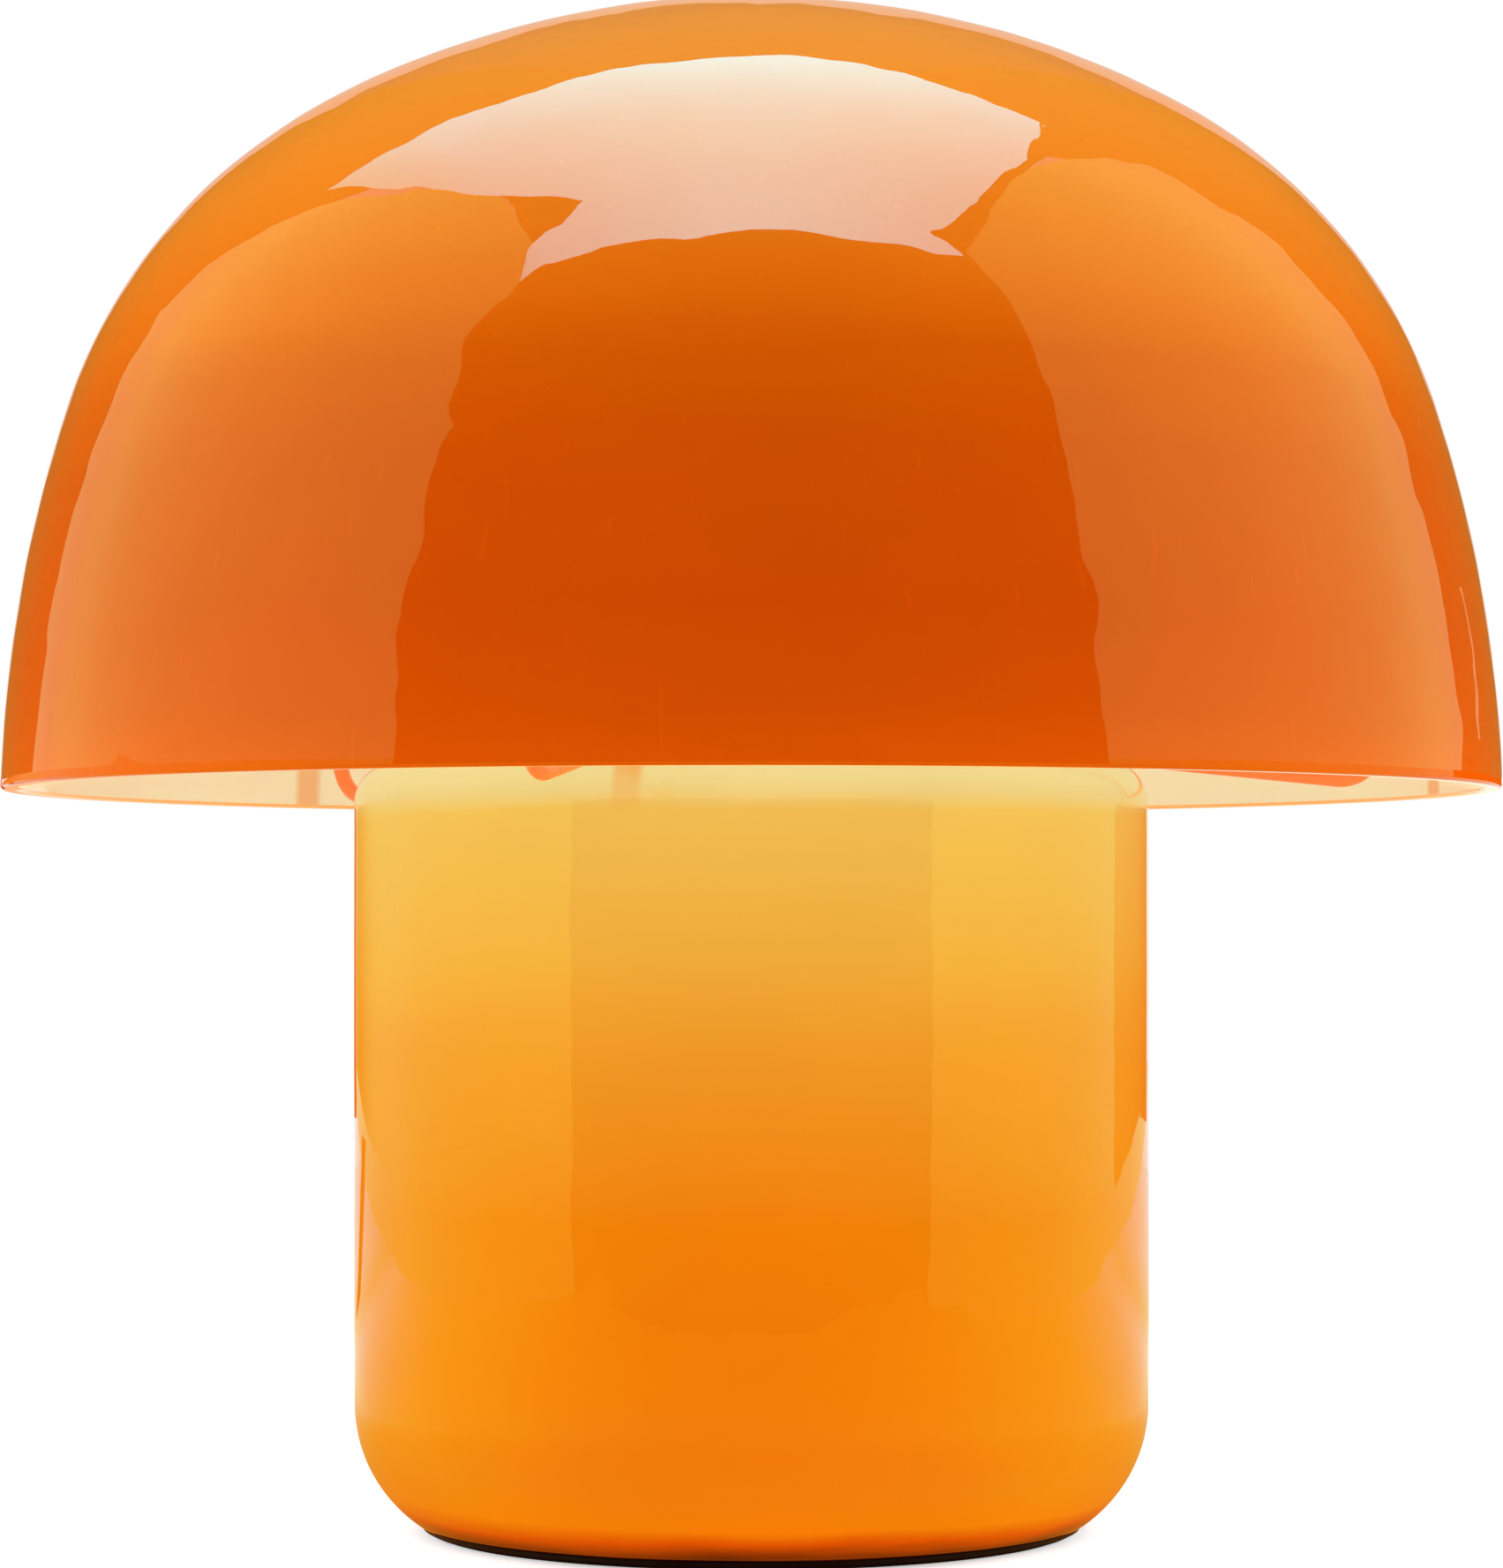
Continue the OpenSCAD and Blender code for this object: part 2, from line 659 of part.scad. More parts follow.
// Black glass that closes the screw cap below
module bulb_insulator() color([0.06, 0.06, 0.07]) {
    shell_z = bulb_z + tip_h + insulator_h;
    plug_r = cap_r - groove - shell_wall - neck_gap;
    rotate_extrude()
        polygon([
            [0, bulb_z + tip_h], [insulator_r, bulb_z + tip_h],
            [cap_r - groove, shell_z], [plug_r, shell_z], [plug_r, shell_z + insulator_plug],
            [0, shell_z + insulator_plug]
        ]);
}

module bulb_contact() color([0.85, 0.85, 0.85])
    translate([0, 0, bulb_z]) {
        cylinder(h = tip_bevel, r1 = tip_contact_r - tip_bevel, r2 = tip_contact_r);
        translate([0, 0, tip_bevel]) cylinder(h = tip_h - tip_bevel, r = tip_contact_r);
    }

// Glass stem inside the globe, with its thin rod
module bulb_stem() color([0.9, 0.93, 0.93])
    translate([0, 0, bulb_z + cap_len - cap_plug]) {
        cylinder(h = stem_flare_t, r = globe_neck_r - globe_wall - neck_gap);
        cylinder(h = cap_plug + stem_h, r = stem_r);
        cylinder(h = cap_plug + stem_h + filament_len + 3 * wire_r, r = rod_r);
    }

// Fine wires that hold the filaments at both ends
module filament_wires() color([0.7, 0.7, 0.7])
    for (i = [0 : filament_count - 1])
        rotate(i * 360 / filament_count) {
            translate([stem_r, 0, filament_z - wire_r]) rotate([0, 90, 0])
                cylinder(h = filament_place - stem_r + filament_r, r = wire_r);
            translate([rod_r, 0, filament_z + filament_len + wire_r]) rotate([0, 90, 0])
                cylinder(h = filament_place - rod_r + filament_r, r = wire_r);
        }

module led_filaments() color([1, 0.85, 0.4])
    for (i = [0 : filament_count - 1])
        rotate(i * 360 / filament_count)
            translate([filament_place, 0, filament_z])
                cylinder(h = filament_len, r = filament_r);

// Blown dome with a ground rim
module shade_glass() color([0.85, 0.35, 0.05])
    rotate_extrude()
        polygon(concat(
            arc(crown_c, crown_r, 0, crown_angle),
            arc(shoulder_c, shoulder_r, crown_angle, shoulder_angle),
            arc(side_c, side_r, shoulder_angle, side_angle),
            arc(side_c, side_r - shade_wall, side_angle, shoulder_angle),
            arc(shoulder_c, shoulder_r - shade_wall, shoulder_angle, crown_angle),
            arc(crown_c, crown_r - shade_wall, crown_angle, 0)
        ));

foot_pad();
foot_plate();
glass_gasket();
base_glass();
cable_gland();
gland_nut();
plate_washer();
plate_nut();
earth_tag();
lock_nut();
threaded_tube();
holder_cap();
grub_screw();
holder_shell();
contact_block();
centre_contact();
terminal_screws();
screw_sleeve();
clamp_ring_lower();
clamp_ring_upper();
carrier_ring();
arm_right();
arm_left();
arm_front();
sleeve_right();
sleeve_left();
sleeve_front();
tip_right();
tip_left();
tip_front();
bulb_globe();
bulb_cap();
bulb_insulator();
bulb_contact();
bulb_stem();
filament_wires();
led_filaments();
shade_glass();
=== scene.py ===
import math

import bmesh
import bpy
from mathutils import Matrix, Vector


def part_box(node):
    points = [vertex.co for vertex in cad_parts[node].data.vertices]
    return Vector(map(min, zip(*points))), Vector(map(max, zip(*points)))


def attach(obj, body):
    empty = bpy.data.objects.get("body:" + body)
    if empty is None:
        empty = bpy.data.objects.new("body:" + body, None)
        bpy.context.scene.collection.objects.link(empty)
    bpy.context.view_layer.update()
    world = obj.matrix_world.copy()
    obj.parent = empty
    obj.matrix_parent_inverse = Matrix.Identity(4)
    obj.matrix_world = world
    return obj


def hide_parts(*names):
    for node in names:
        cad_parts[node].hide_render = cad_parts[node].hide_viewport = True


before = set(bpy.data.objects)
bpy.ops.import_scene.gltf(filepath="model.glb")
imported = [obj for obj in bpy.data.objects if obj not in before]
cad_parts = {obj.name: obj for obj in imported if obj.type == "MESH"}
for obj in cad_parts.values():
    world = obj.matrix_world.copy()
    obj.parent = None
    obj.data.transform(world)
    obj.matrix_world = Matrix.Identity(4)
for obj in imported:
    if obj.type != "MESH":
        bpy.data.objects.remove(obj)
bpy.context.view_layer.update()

# Camera
# A long lens just over a metre in front of the lamp, level with the middle of the base glass.
# It looks straight to the back, and the shift lifts the picture to take in the whole shade.
camera_distance = 1.104
camera_height = 0.1385
camera_lens = 107.4
camera_film = 36
camera_lift = 0.1005

camera = bpy.data.objects.new("camera", bpy.data.cameras.new("camera"))
camera.data.lens = camera_lens
camera.data.sensor_width = camera_film
camera.data.sensor_fit = "AUTO"
camera.data.shift_y = camera_lift
camera.data.clip_start = 0.05
camera.data.clip_end = 60
camera.location = (0, -camera_distance, camera_height)
camera.rotation_euler = (math.radians(90), 0, 0)
bpy.context.scene.collection.objects.link(camera)
bpy.context.scene.camera = camera
bpy.context.scene.view_settings.view_transform = "Standard"


# Floor and backdrop
# A pale seamless table that runs back to a white room. Near the lamp the floor keeps its soft
# shadow under an even lift to white, and further off it fades into the room.
floor_size = 9.0
floor_colour = (0.86, 0.85, 0.84, 1)
floor_far_colour = (0.9, 0.89, 0.88, 1)
floor_grain = 3.0
floor_lift = 0.5
fade_from, fade_to = 0.35, 0.8
room_white = (1, 1, 1, 1)
room_light = 0.2


def add_node(tree, kind, settings=None, values=(), **sockets):
    """A node with its settings. Sockets are set or linked by name, or in order by values."""
    made = tree.nodes.new(kind)
    for name, value in (settings or {}).items():
        setattr(made, name, value)
    pairs = [(made.inputs[name.replace("_", " ")], value) for name, value in sockets.items()]
    pairs += [(made.inputs[i], value) for i, value in enumerate(values)]
    for socket, value in pairs:
        if isinstance(value, bpy.types.NodeSocket):
            tree.links.new(value, socket)
        elif value is not None:
            socket.default_value = value
    return made


def maths(tree, operation, *values, clamp=False):
    """The result of one Math node."""
    settings = {"operation": operation, "use_clamp": clamp}
    return add_node(tree, "ShaderNodeMath", settings, values).outputs[0]


def new_material(name):
    """A material with an empty tree but for its output, which comes back with the tree."""
    made = bpy.data.materials.new(name)
    made.use_nodes = True
    made.node_tree.nodes.clear()
    return made, made.node_tree, made.node_tree.nodes.new("ShaderNodeOutputMaterial")


def new_object(name, mesh):
    """An object in the scene, at the origin."""
    made = bpy.data.objects.new(name, mesh)
    bpy.context.scene.collection.objects.link(made)
    return made


def seen_directly(tree):
    """1 for the camera and for what shows in glass and metal, 0 for soft light."""
    path = tree.nodes.new("ShaderNodeLightPath").outputs
    straight = maths(tree, "MAXIMUM", path["Is Camera Ray"], path["Is Glossy Ray"])
    return maths(tree, "MAXIMUM", straight, path["Is Transmission Ray"])


floor_paper, tree, output = new_material("floor_paper")
grain = add_node(tree, "ShaderNodeTexNoise", Scale=floor_grain, Detail=2.0)
tint = add_node(tree, "ShaderNodeMix", {"data_type": "RGBA"}, Factor=grain.outputs["Fac"])
tint.inputs["A"].default_value = floor_colour
tint.inputs["B"].default_value = floor_far_colour
paper = add_node(tree, "ShaderNodeBsdfDiffuse", Color=tint.outputs["Result"])
camera_ray = tree.nodes.new("ShaderNodeLightPath").outputs["Is Camera Ray"]
lift = add_node(tree, "ShaderNodeEmission", Color=room_white,
                Strength=maths(tree, "MULTIPLY", camera_ray, floor_lift))
both = add_node(tree, "ShaderNodeAddShader", values=[paper.outputs[0], lift.outputs[0]])
place = tree.nodes.new("ShaderNodeTexCoord").outputs["Object"]
reach = add_node(tree, "ShaderNodeVectorMath", {"operation": "LENGTH"}, Vector=place)
fade = add_node(tree, "ShaderNodeMapRange", {"interpolation_type": "SMOOTHSTEP"},
                Value=reach.outputs["Value"], From_Min=fade_from, From_Max=fade_to)
room_like = add_node(tree, "ShaderNodeEmission", Color=room_white, Strength=1.0)
share = maths(tree, "MULTIPLY", fade.outputs["Result"], seen_directly(tree))
faded = add_node(tree, "ShaderNodeMixShader", values=[share, both.outputs[0], room_like.outputs[0]])
tree.links.new(faded.outputs[0], output.inputs["Surface"])

half = floor_size / 2
floor_mesh = bpy.data.meshes.new("floor")
floor_mesh.from_pydata([(-half, -half, 0), (half, -half, 0), (half, half, 0), (-half, half, 0)],
                       [], [(0, 1, 2, 3)])
floor_mesh.materials.append(floor_paper)
floor = new_object("floor", floor_mesh)

world = bpy.data.worlds.new("room")
bpy.context.scene.world = world
world.use_nodes = True
tree = world.node_tree
tree.nodes.clear()
output = tree.nodes.new("ShaderNodeOutputWorld")
strength = add_node(tree, "ShaderNodeMapRange", Value=seen_directly(tree))
strength.inputs["To Min"].default_value = room_light
strength.inputs["To Max"].default_value = 1.0
room = add_node(tree, "ShaderNodeBackground", Color=room_white,
                Strength=strength.outputs["Result"])
tree.links.new(room.outputs[0], output.inputs["Surface"])


# Studio panels
# Cloth panels round the lamp, which only its gloss shows: tall cloths at both sides, a soft
# box overhead, a table below, and dark flags between them. None of them lights the lamp.
panel_reach = 1.4
panel_front, panel_foot, panel_top = -1.15, -0.1, 3.0
low_top = 0.28
left_low_back, right_low_back = 4.06, 0.97
left_back_edge = [(1.33, low_top), (1.19, 1.2), (0.64, 2.05), (0.24, 2.49), (-0.16, 2.97)]
right_corner, right_corner_r = (0.12, 2.0), 1.0
side_glow = [(-1.15, (0.8, 1.2, 0.32)), (-0.1, (0.8, 1.3, 0.35)), (0.75, (0.85, 1.4, 0.44)),
             (1.02, (0.85, 1.0, 0.42)), (1.33, (0.85, 0.95, 0.4))]
low_glow = [(-1.2, (0.9, 1.1, 0.15)), (-0.45, (0.9, 1.0, 0.12)), (0.27, (0.85, 0.85, 0.2)),
            (0.8, (0.85, 0.85, 0.3)), (1.3, (0.85, 0.72, 0.2)), (1.95, (0.85, 0.42, 0.08)),
            (2.5, (0.8, 0.3, 0.02)), (4.06, (0.8, 0.3, 0.02))]
reach_drawn = 1.8
box_height = 1.5
box_glow = [(-0.7, (1.6, 7.4, 7.7)), (0.7, (0.6, 4.5, 5.3))]
box_falls = [("side", 0.08, 0.65, (0.74, 0.74, 0.74)), ("left", 0.64, 1.0, (0.78, 0.7, 0.5))]
box_outline = [
    (-1.0, 0.63), (-0.64, 0.6), (-0.41, 0.58), (-0.23, 0.67), (0.2, 0.69), (0.4, 0.56),
    (0.55, 0.52), (0.63, 0.15), (0.59, -0.31), (0.54, -0.52), (0.66, -0.64), (0.4, -0.66),
    (-0.41, -0.67), (-0.66, -0.67), (-0.85, -0.745), (-0.69, -0.55), (-0.47, -0.39),
    (-0.66, -0.15), (-0.8, 0.075), (-0.94, 0.52),
]
flag_reach = 2.6
flag_foot, flag_top = -0.2, 5.4
gap_foot, far_top = 0.27, 1.62
flag_steps = 12
front_glow = (0.02, 0.018, 0.015)
gap_glow = (0.45, 0.2, 0.03)
back_glow = (0.45, 0.2, 0.08)
far_glow = (0.82, 0.55, 0.42)
strip_glow = (0.9, 0.75, 0.35)
low_flag_glow = (0.8, 0.12, 0.005)
flags = {
    "front_flag": (-54, 54, flag_foot, flag_top, front_glow),
    "gap_flag_left": (-162, -118, gap_foot, flag_top, gap_glow),
    "gap_flag_right": (118, 162, gap_foot, flag_top, gap_glow),
    "far_cloth": (162, 198, gap_foot, far_top, far_glow),
    "back_flag": (162, 198, far_top, flag_top, back_glow),
    "low_flag_left": (-180, -161, flag_foot, gap_foot, low_flag_glow),
    "low_flag_right": (149, 161, flag_foot, gap_foot, low_flag_glow),
}
table_front, table_back = -0.7, 1.7
table_sides = [(0.62, table_front), (0.66, -0.59), (0.7, -0.3), (0.93, 0.55), (0.93, table_back)]
table_glow = [(-0.7, (0.6, 0.3, 0.03)), (-0.45, (0.7, 0.6, 0.04)), (-0.12, (1.0, 0.95, 0.08)),
              (0.07, (0.95, 0.85, 0.15)), (0.2, (0.95, 0.82, 0.35)), (0.45, (0.95, 0.95, 0.75)),
              (0.6, (0.9, 0.78, 0.4)), (0.85, (0.95, 0.85, 0.7)), (1.7, (0.95, 0.9, 0.85))]
# Near the lamp the table card turns dark red: the lamp's shadow on the table, with its orange glow,
# painted into the card.
table_painted_shadow = [("reach", 0.5, 0.12, (0.8, 0.2, 0.1))]
side_card_glow = [(-1.2, (0.85, 0.95, 0.12)), (-0.3, (0.8, 0.85, 0.1)), (0.25, (0.8, 0.8, 0.2)),
                  (0.8, (0.9, 0.78, 0.3)), (4.06, (0.9, 0.8, 0.5))]
card_z = 0.0005
card_overlap = 0.02
wing_front, wing_back = 0.9, 2.4
strip_corners = [(1.53, 1.92, 0.34), (1.575, 1.89, 0.34), (1.57, 1.89, 0.6), (1.545, 1.91, 0.6)]
left_back_corners = [(-0.26, 0.57), (-0.4, 0.64), (-1.24, 1.8), (-1.08, 1.92)]


def ramp(tree, factor, stops):
    """A colour ramp through (place, colour) stops."""
    made = add_node(tree, "ShaderNodeValToRGB", Fac=factor)
    elements = made.color_ramp.elements
    while len(elements) < len(stops):
        elements.new(0.5)
    for element, (place, colour) in zip(elements, stops):
        element.position = place
        element.color = (*colour, 1)
    return made.outputs["Color"]


def stops_between(stops, low, high):
    """Stops at real places, as shares of the way from low to high."""
    return [((place - low) / (high - low), colour) for place, colour in stops]


def tinted(tree, colour, tint, share):
    """A colour times the part of a tint that the share gives."""
    mix = add_node(tree, "ShaderNodeMix", {"data_type": "VECTOR"}, Factor=share)
    mix.inputs["A"].default_value = (1, 1, 1)
    mix.inputs["B"].default_value = tint
    return add_node(tree, "ShaderNodeVectorMath", {"operation": "MULTIPLY"},
                    values=[colour, mix.outputs["Result"]]).outputs[0]


def cloth(name, glow, dimmed=()):
    """Cloth that glows in one colour, or in colours from front to back.

    Dimmed lists its falls: a measure (side, left or reach), where the cloth keeps its colour,
    where the fall ends, and the tint that is left there.
    """
    made, tree, output = new_material(name)
    place = tree.nodes.new("ShaderNodeTexCoord").outputs["Object"]
    parts = add_node(tree, "ShaderNodeSeparateXYZ", Vector=place).outputs
    if isinstance(glow, list):
        low, high = glow[0][0], glow[-1][0]
        share = add_node(tree, "ShaderNodeMapRange", Value=parts["Y"], From_Min=low, From_Max=high)
        colour = ramp(tree, share.outputs["Result"], stops_between(glow, low, high))
    else:
        colour = (*glow, 1)
    drawn = add_node(tree, "ShaderNodeMapping", Vector=place, Scale=(reach_drawn, 1, 1))
    reach = add_node(tree, "ShaderNodeVectorMath", {"operation": "LENGTH"},
                     Vector=drawn.outputs["Vector"])
    measures = {"side": maths(tree, "ABSOLUTE", parts["X"]), "reach": reach.outputs["Value"],
                "left": maths(tree, "MULTIPLY", parts["X"], -1.0)}
    for measure, full, end, kept in dimmed:
        fall = add_node(tree, "ShaderNodeMapRange", Value=measures[measure], From_Min=full,
                        From_Max=end)
        colour = tinted(tree, colour, kept, fall.outputs["Result"])
    light = add_node(tree, "ShaderNodeEmission", Color=colour, Strength=1.0)
    tree.links.new(light.outputs[0], output.inputs["Surface"])
    return made


def panel(name, points, faces, material):
    """A flat or folded panel that only glossy surfaces see."""
    mesh = bpy.data.meshes.new(name)
    mesh.from_pydata(points, [], faces)
    mesh.materials.append(material)
    made = new_object(name, mesh)
    made.visible_camera = made.visible_diffuse = made.visible_shadow = False
    made.visible_transmission = made.visible_volume_scatter = False


def flat_panel(name, points, material):
    """A panel with one face."""
    panel(name, points, [list(range(len(points)))], material)


side_cloth = cloth("side_cloth", side_glow)
low_cloth = cloth("low_cloth", low_glow)
right_back_edge = [(right_corner[0] + right_corner_r, low_top)]
for turn in range(0, 91, 15):
    a = math.radians(turn)
    right_back_edge.append((right_corner[0] + right_corner_r * math.cos(a),
                            right_corner[1] + right_corner_r * math.sin(a)))
for name, side, edge, low_back in (("left", -1, left_back_edge, left_low_back),
                                   ("right", 1, right_back_edge, right_low_back)):
    outline = [(panel_front, low_top), *edge, (panel_front, panel_top)]
    flat_panel("side_panel_" + name, [(side * panel_reach, y, z) for y, z in outline], side_cloth)
    outline = [(panel_front, panel_foot), (low_back, panel_foot), (low_back, low_top),
               (panel_front, low_top)]
    flat_panel("low_panel_" + name, [(side * panel_reach, y, z) for y, z in outline], low_cloth)

box_cloth = cloth("box_cloth", box_glow, dimmed=box_falls)
flat_panel("overhead_box", [(x, y, box_height) for x, y in box_outline], box_cloth)

for name, (start, end, foot, top, glow) in flags.items():
    turns = [math.radians(start + (end - start) * i / flag_steps) for i in range(flag_steps + 1)]
    points = [(flag_reach * math.sin(a), -flag_reach * math.cos(a), z)
              for z in (foot, top) for a in turns]
    above = flag_steps + 1
    faces = [(i, i + 1, i + 1 + above, i + above) for i in range(flag_steps)]
    panel(name, points, faces, cloth(name, glow))
flag_cloth = cloth("top_flag", front_glow)
corners = ((-1, -1), (1, -1), (1, 1), (-1, 1))
flat_panel("top_flag", [(x * flag_reach, y * flag_reach, flag_top) for x, y in corners], flag_cloth)


def floor_card(name, points, material, z=card_z):
    """A panel that lies just over the floor."""
    flat_panel(name, [(x, y, z) for x, y in points], material)


def both_halves(points):
    """The right half of an outline, and its mirror image on the left."""
    return points + [(-x, y) for x, y in reversed(points)]


side_card_cloth = cloth("side_card_cloth", side_card_glow)
side_front = (panel_reach + card_overlap, panel_front)
on_past = (flag_reach - table_sides[1][0]) / (side_front[0] - table_sides[1][0])
far_corner = (flag_reach, table_sides[1][1] + on_past * (side_front[1] - table_sides[1][1]))
for side, name in ((-1, "left"), (1, "right")):
    points = table_sides[1:4] + [(table_sides[4][0], left_low_back), (side_front[0], left_low_back),
                                 side_front]
    floor_card("side_card_" + name, [(side * x, y) for x, y in points], side_card_cloth)
floor_card("front_card", both_halves([table_sides[0], table_sides[1], far_corner,
                                      (flag_reach, -flag_reach)]), flag_cloth)
floor_card("table_card", both_halves(table_sides),
           cloth("table_cloth", table_glow, dimmed=table_painted_shadow))
flat_panel("thin_strip", strip_corners, cloth("strip_cloth", strip_glow))
low_flag_cloth = cloth("low_flag_cloth", low_flag_glow)
wing_corners = ((wing_front, panel_foot), (wing_back, panel_foot), (wing_back, low_top),
                (wing_front, low_top))
flat_panel("right_wing", [(side_front[0], y, z) for y, z in wing_corners], low_flag_cloth)
floor_card("left_back_card", left_back_corners, low_flag_cloth, 2 * card_z)


# Lamps of the studio
# Soft lights at both sides and above give the glass its colour at a plain level.
# Gloss doesn't show them, because the panels stand for them there.
side_watts, top_watts, front_watts = 30.5, 7, 1.8
side_size, small_size = 1.6, 1.4
aim = Vector((0, 0, 0.2))
lights = [
    ("side_light_left", (-1.35, -0.25, 0.9), side_size, side_watts),
    ("side_light_right", (1.35, -0.25, 0.9), side_size, side_watts),
    ("top_light", (0, 0, 1.6), small_size, top_watts),
    ("front_light", (0, -1.9, 0.9), small_size, front_watts),
]
for name, place, size, watts in lights:
    data = bpy.data.lights.new(name, "AREA")
    data.shape = "SQUARE"
    data.size = size
    data.energy = watts
    light = new_object(name, data)
    light.location = place
    light.rotation_euler = (aim - Vector(place)).to_track_quat("-Z", "Y").to_euler()
    light.visible_glossy = False
    light.visible_camera = False


# Foot
# A pressed steel plate in black paint, with a soft pad glued below it and a thin gasket
# above it, on which the ground bottom edge of the base glass stands.
grain_size = 0.0004
smudge_size = 0.012
scratch_draw, scratch_least = 14, 0.66
scratch_rough = 0.06


def new_group(name, inputs, outputs):
    """A shader node group with float inputs and outputs, its input values and its output node."""
    tree = bpy.data.node_groups.new(name, "ShaderNodeTree")
    for label in inputs:
        tree.interface.new_socket(label, in_out="INPUT", socket_type="NodeSocketFloat")
    for label in outputs:
        tree.interface.new_socket(label, in_out="OUTPUT", socket_type="NodeSocketFloat")
    return tree, tree.nodes.new("NodeGroupInput").outputs, tree.nodes.new("NodeGroupOutput").inputs


def use_group(tree, group, **values):
    """The outputs of a node group placed in a tree, with its values."""
    return add_node(tree, "ShaderNodeGroup", {"node_tree": group}, **values).outputs


def object_place(tree, scale=(1, 1, 1)):
    """Object coordinates, drawn out or drawn in along each axis."""
    place = tree.nodes.new("ShaderNodeTexCoord").outputs["Object"]
    return add_node(tree, "ShaderNodeMapping", Vector=place, Scale=scale).outputs["Vector"]


def between(tree, value, low, high):
    """A value from 0 to 1 laid between two others."""
    return add_node(tree, "ShaderNodeMapRange", Value=value, To_Min=low, To_Max=high).outputs["Result"]


# Grain of a moulded, painted or brushed face, its smudges and its fine scratches
fine_wear, given, result = new_group("fine_wear", ["Grain Size", "Smudge Size"],
                                     ["Grain", "Smudge", "Scratches"])
tree = fine_wear
grain = add_node(tree, "ShaderNodeTexNoise", Vector=object_place(tree), Detail=2.0,
                 Scale=maths(tree, "DIVIDE", 1.0, given["Grain Size"]))
smudge_scale = maths(tree, "DIVIDE", 1.0, given["Smudge Size"])
smudge = add_node(tree, "ShaderNodeTexNoise", Vector=object_place(tree), Detail=4.0,
                  Scale=smudge_scale)
lines = add_node(tree, "ShaderNodeTexNoise", Vector=object_place(tree, (1, 1, scratch_draw)), Detail=3.0,
                 Scale=maths(tree, "MULTIPLY", smudge_scale, 4.0), Distortion=0.4)
tree.links.new(grain.outputs["Fac"], result["Grain"])
tree.links.new(smudge.outputs["Fac"], result["Smudge"])
tree.links.new(maths(tree, "GREATER_THAN", lines.outputs["Fac"], scratch_least), result["Scratches"])


def finish(name, colour, worn, roughness, metallic=0.0, grain=grain_size, bump=0.08, gloss=0.5,
           lit=0.0):
    """A made surface: its clean and worn colours, its roughness, the size of its grain, its
    gloss, and the strength of a glow painted into it for the bulb's light that falls on it."""
    made, tree, output = new_material(name)
    wear = use_group(tree, fine_wear, Grain_Size=grain, Smudge_Size=smudge_size)
    tone = add_node(tree, "ShaderNodeMix", {"data_type": "RGBA"}, A=(*colour, 1), B=(*worn, 1),
                    Factor=between(tree, wear["Smudge"], -0.4, 0.9))
    marked = maths(tree, "MULTIPLY", wear["Scratches"], scratch_rough)
    rough = maths(tree, "ADD", between(tree, wear["Smudge"], 0.8 * roughness, 1.2 * roughness), marked)
    height = add_node(tree, "ShaderNodeBump", Height=wear["Grain"], Strength=bump,
                      Distance=0.5 * grain)
    shader = add_node(tree, "ShaderNodeBsdfPrincipled", Base_Color=tone.outputs["Result"],
                      Roughness=rough, Metallic=metallic, Normal=height.outputs["Normal"],
                      IOR=1.5, Specular_IOR_Level=gloss, Emission_Color=tone.outputs["Result"],
                      Emission_Strength=lit)
    tree.links.new(shader.outputs[0], output.inputs["Surface"])
    return made


def dress(material, *nodes):
    """Gives a finish to CAD nodes, which keep their shape."""
    for node in nodes:
        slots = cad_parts[node].data.materials
        for i in range(len(slots)):
            slots[i] = material


black_rubber = finish("black_rubber", (0.008, 0.003, 0.003), (0.016, 0.008, 0.007), 0.75, bump=0.3,
                      gloss=0.05)
black_paint = finish("black_paint", (0.008, 0.003, 0.003), (0.018, 0.009, 0.008), 0.4,
                     grain=0.0015, bump=0.05, gloss=0.1)
grey_rubber = finish("grey_rubber", (0.05, 0.05, 0.05), (0.09, 0.085, 0.08), 0.7, bump=0.2)
dress(black_rubber, "foot_pad")
dress(black_paint, "foot_plate")
dress(grey_rubber, "glass_gasket")


# Blown glass
# Both glass pieces are blown, so one tree turns their outlines round the axis. It lays slow
# swells and small ripples over the outer skin, which the reflections show, and none inside.
glass_steps = 352
weld_gap = 0.00002
cord_draw = (0.35, 0.35, 3.0)
seed_dot_size = 0.02
hair_draw, hair_scale = (1, 1, 0.016), 700.0
hair_from, hair_to = 0.79, 0.83
skin_scale = 160.0
cord_size, seed_size = 0.05, 0.022
mottle_low, mottle_high = 0.94, 1.06
clean_rough, seed_rough = 0.015, 0.3
skin_strength, skin_depth = 0.04, 0.0002
glass_ior = 1.5
slant_full, rim_fade = 0.5, 0.55
arm_turns = {"right": 13, "left": 133, "front": 253}
shadow_core = 0.15
shadow_half_width = 0.032
shadow_tint = (1, 0.58, 0.3)
shadow_fade = 0.012


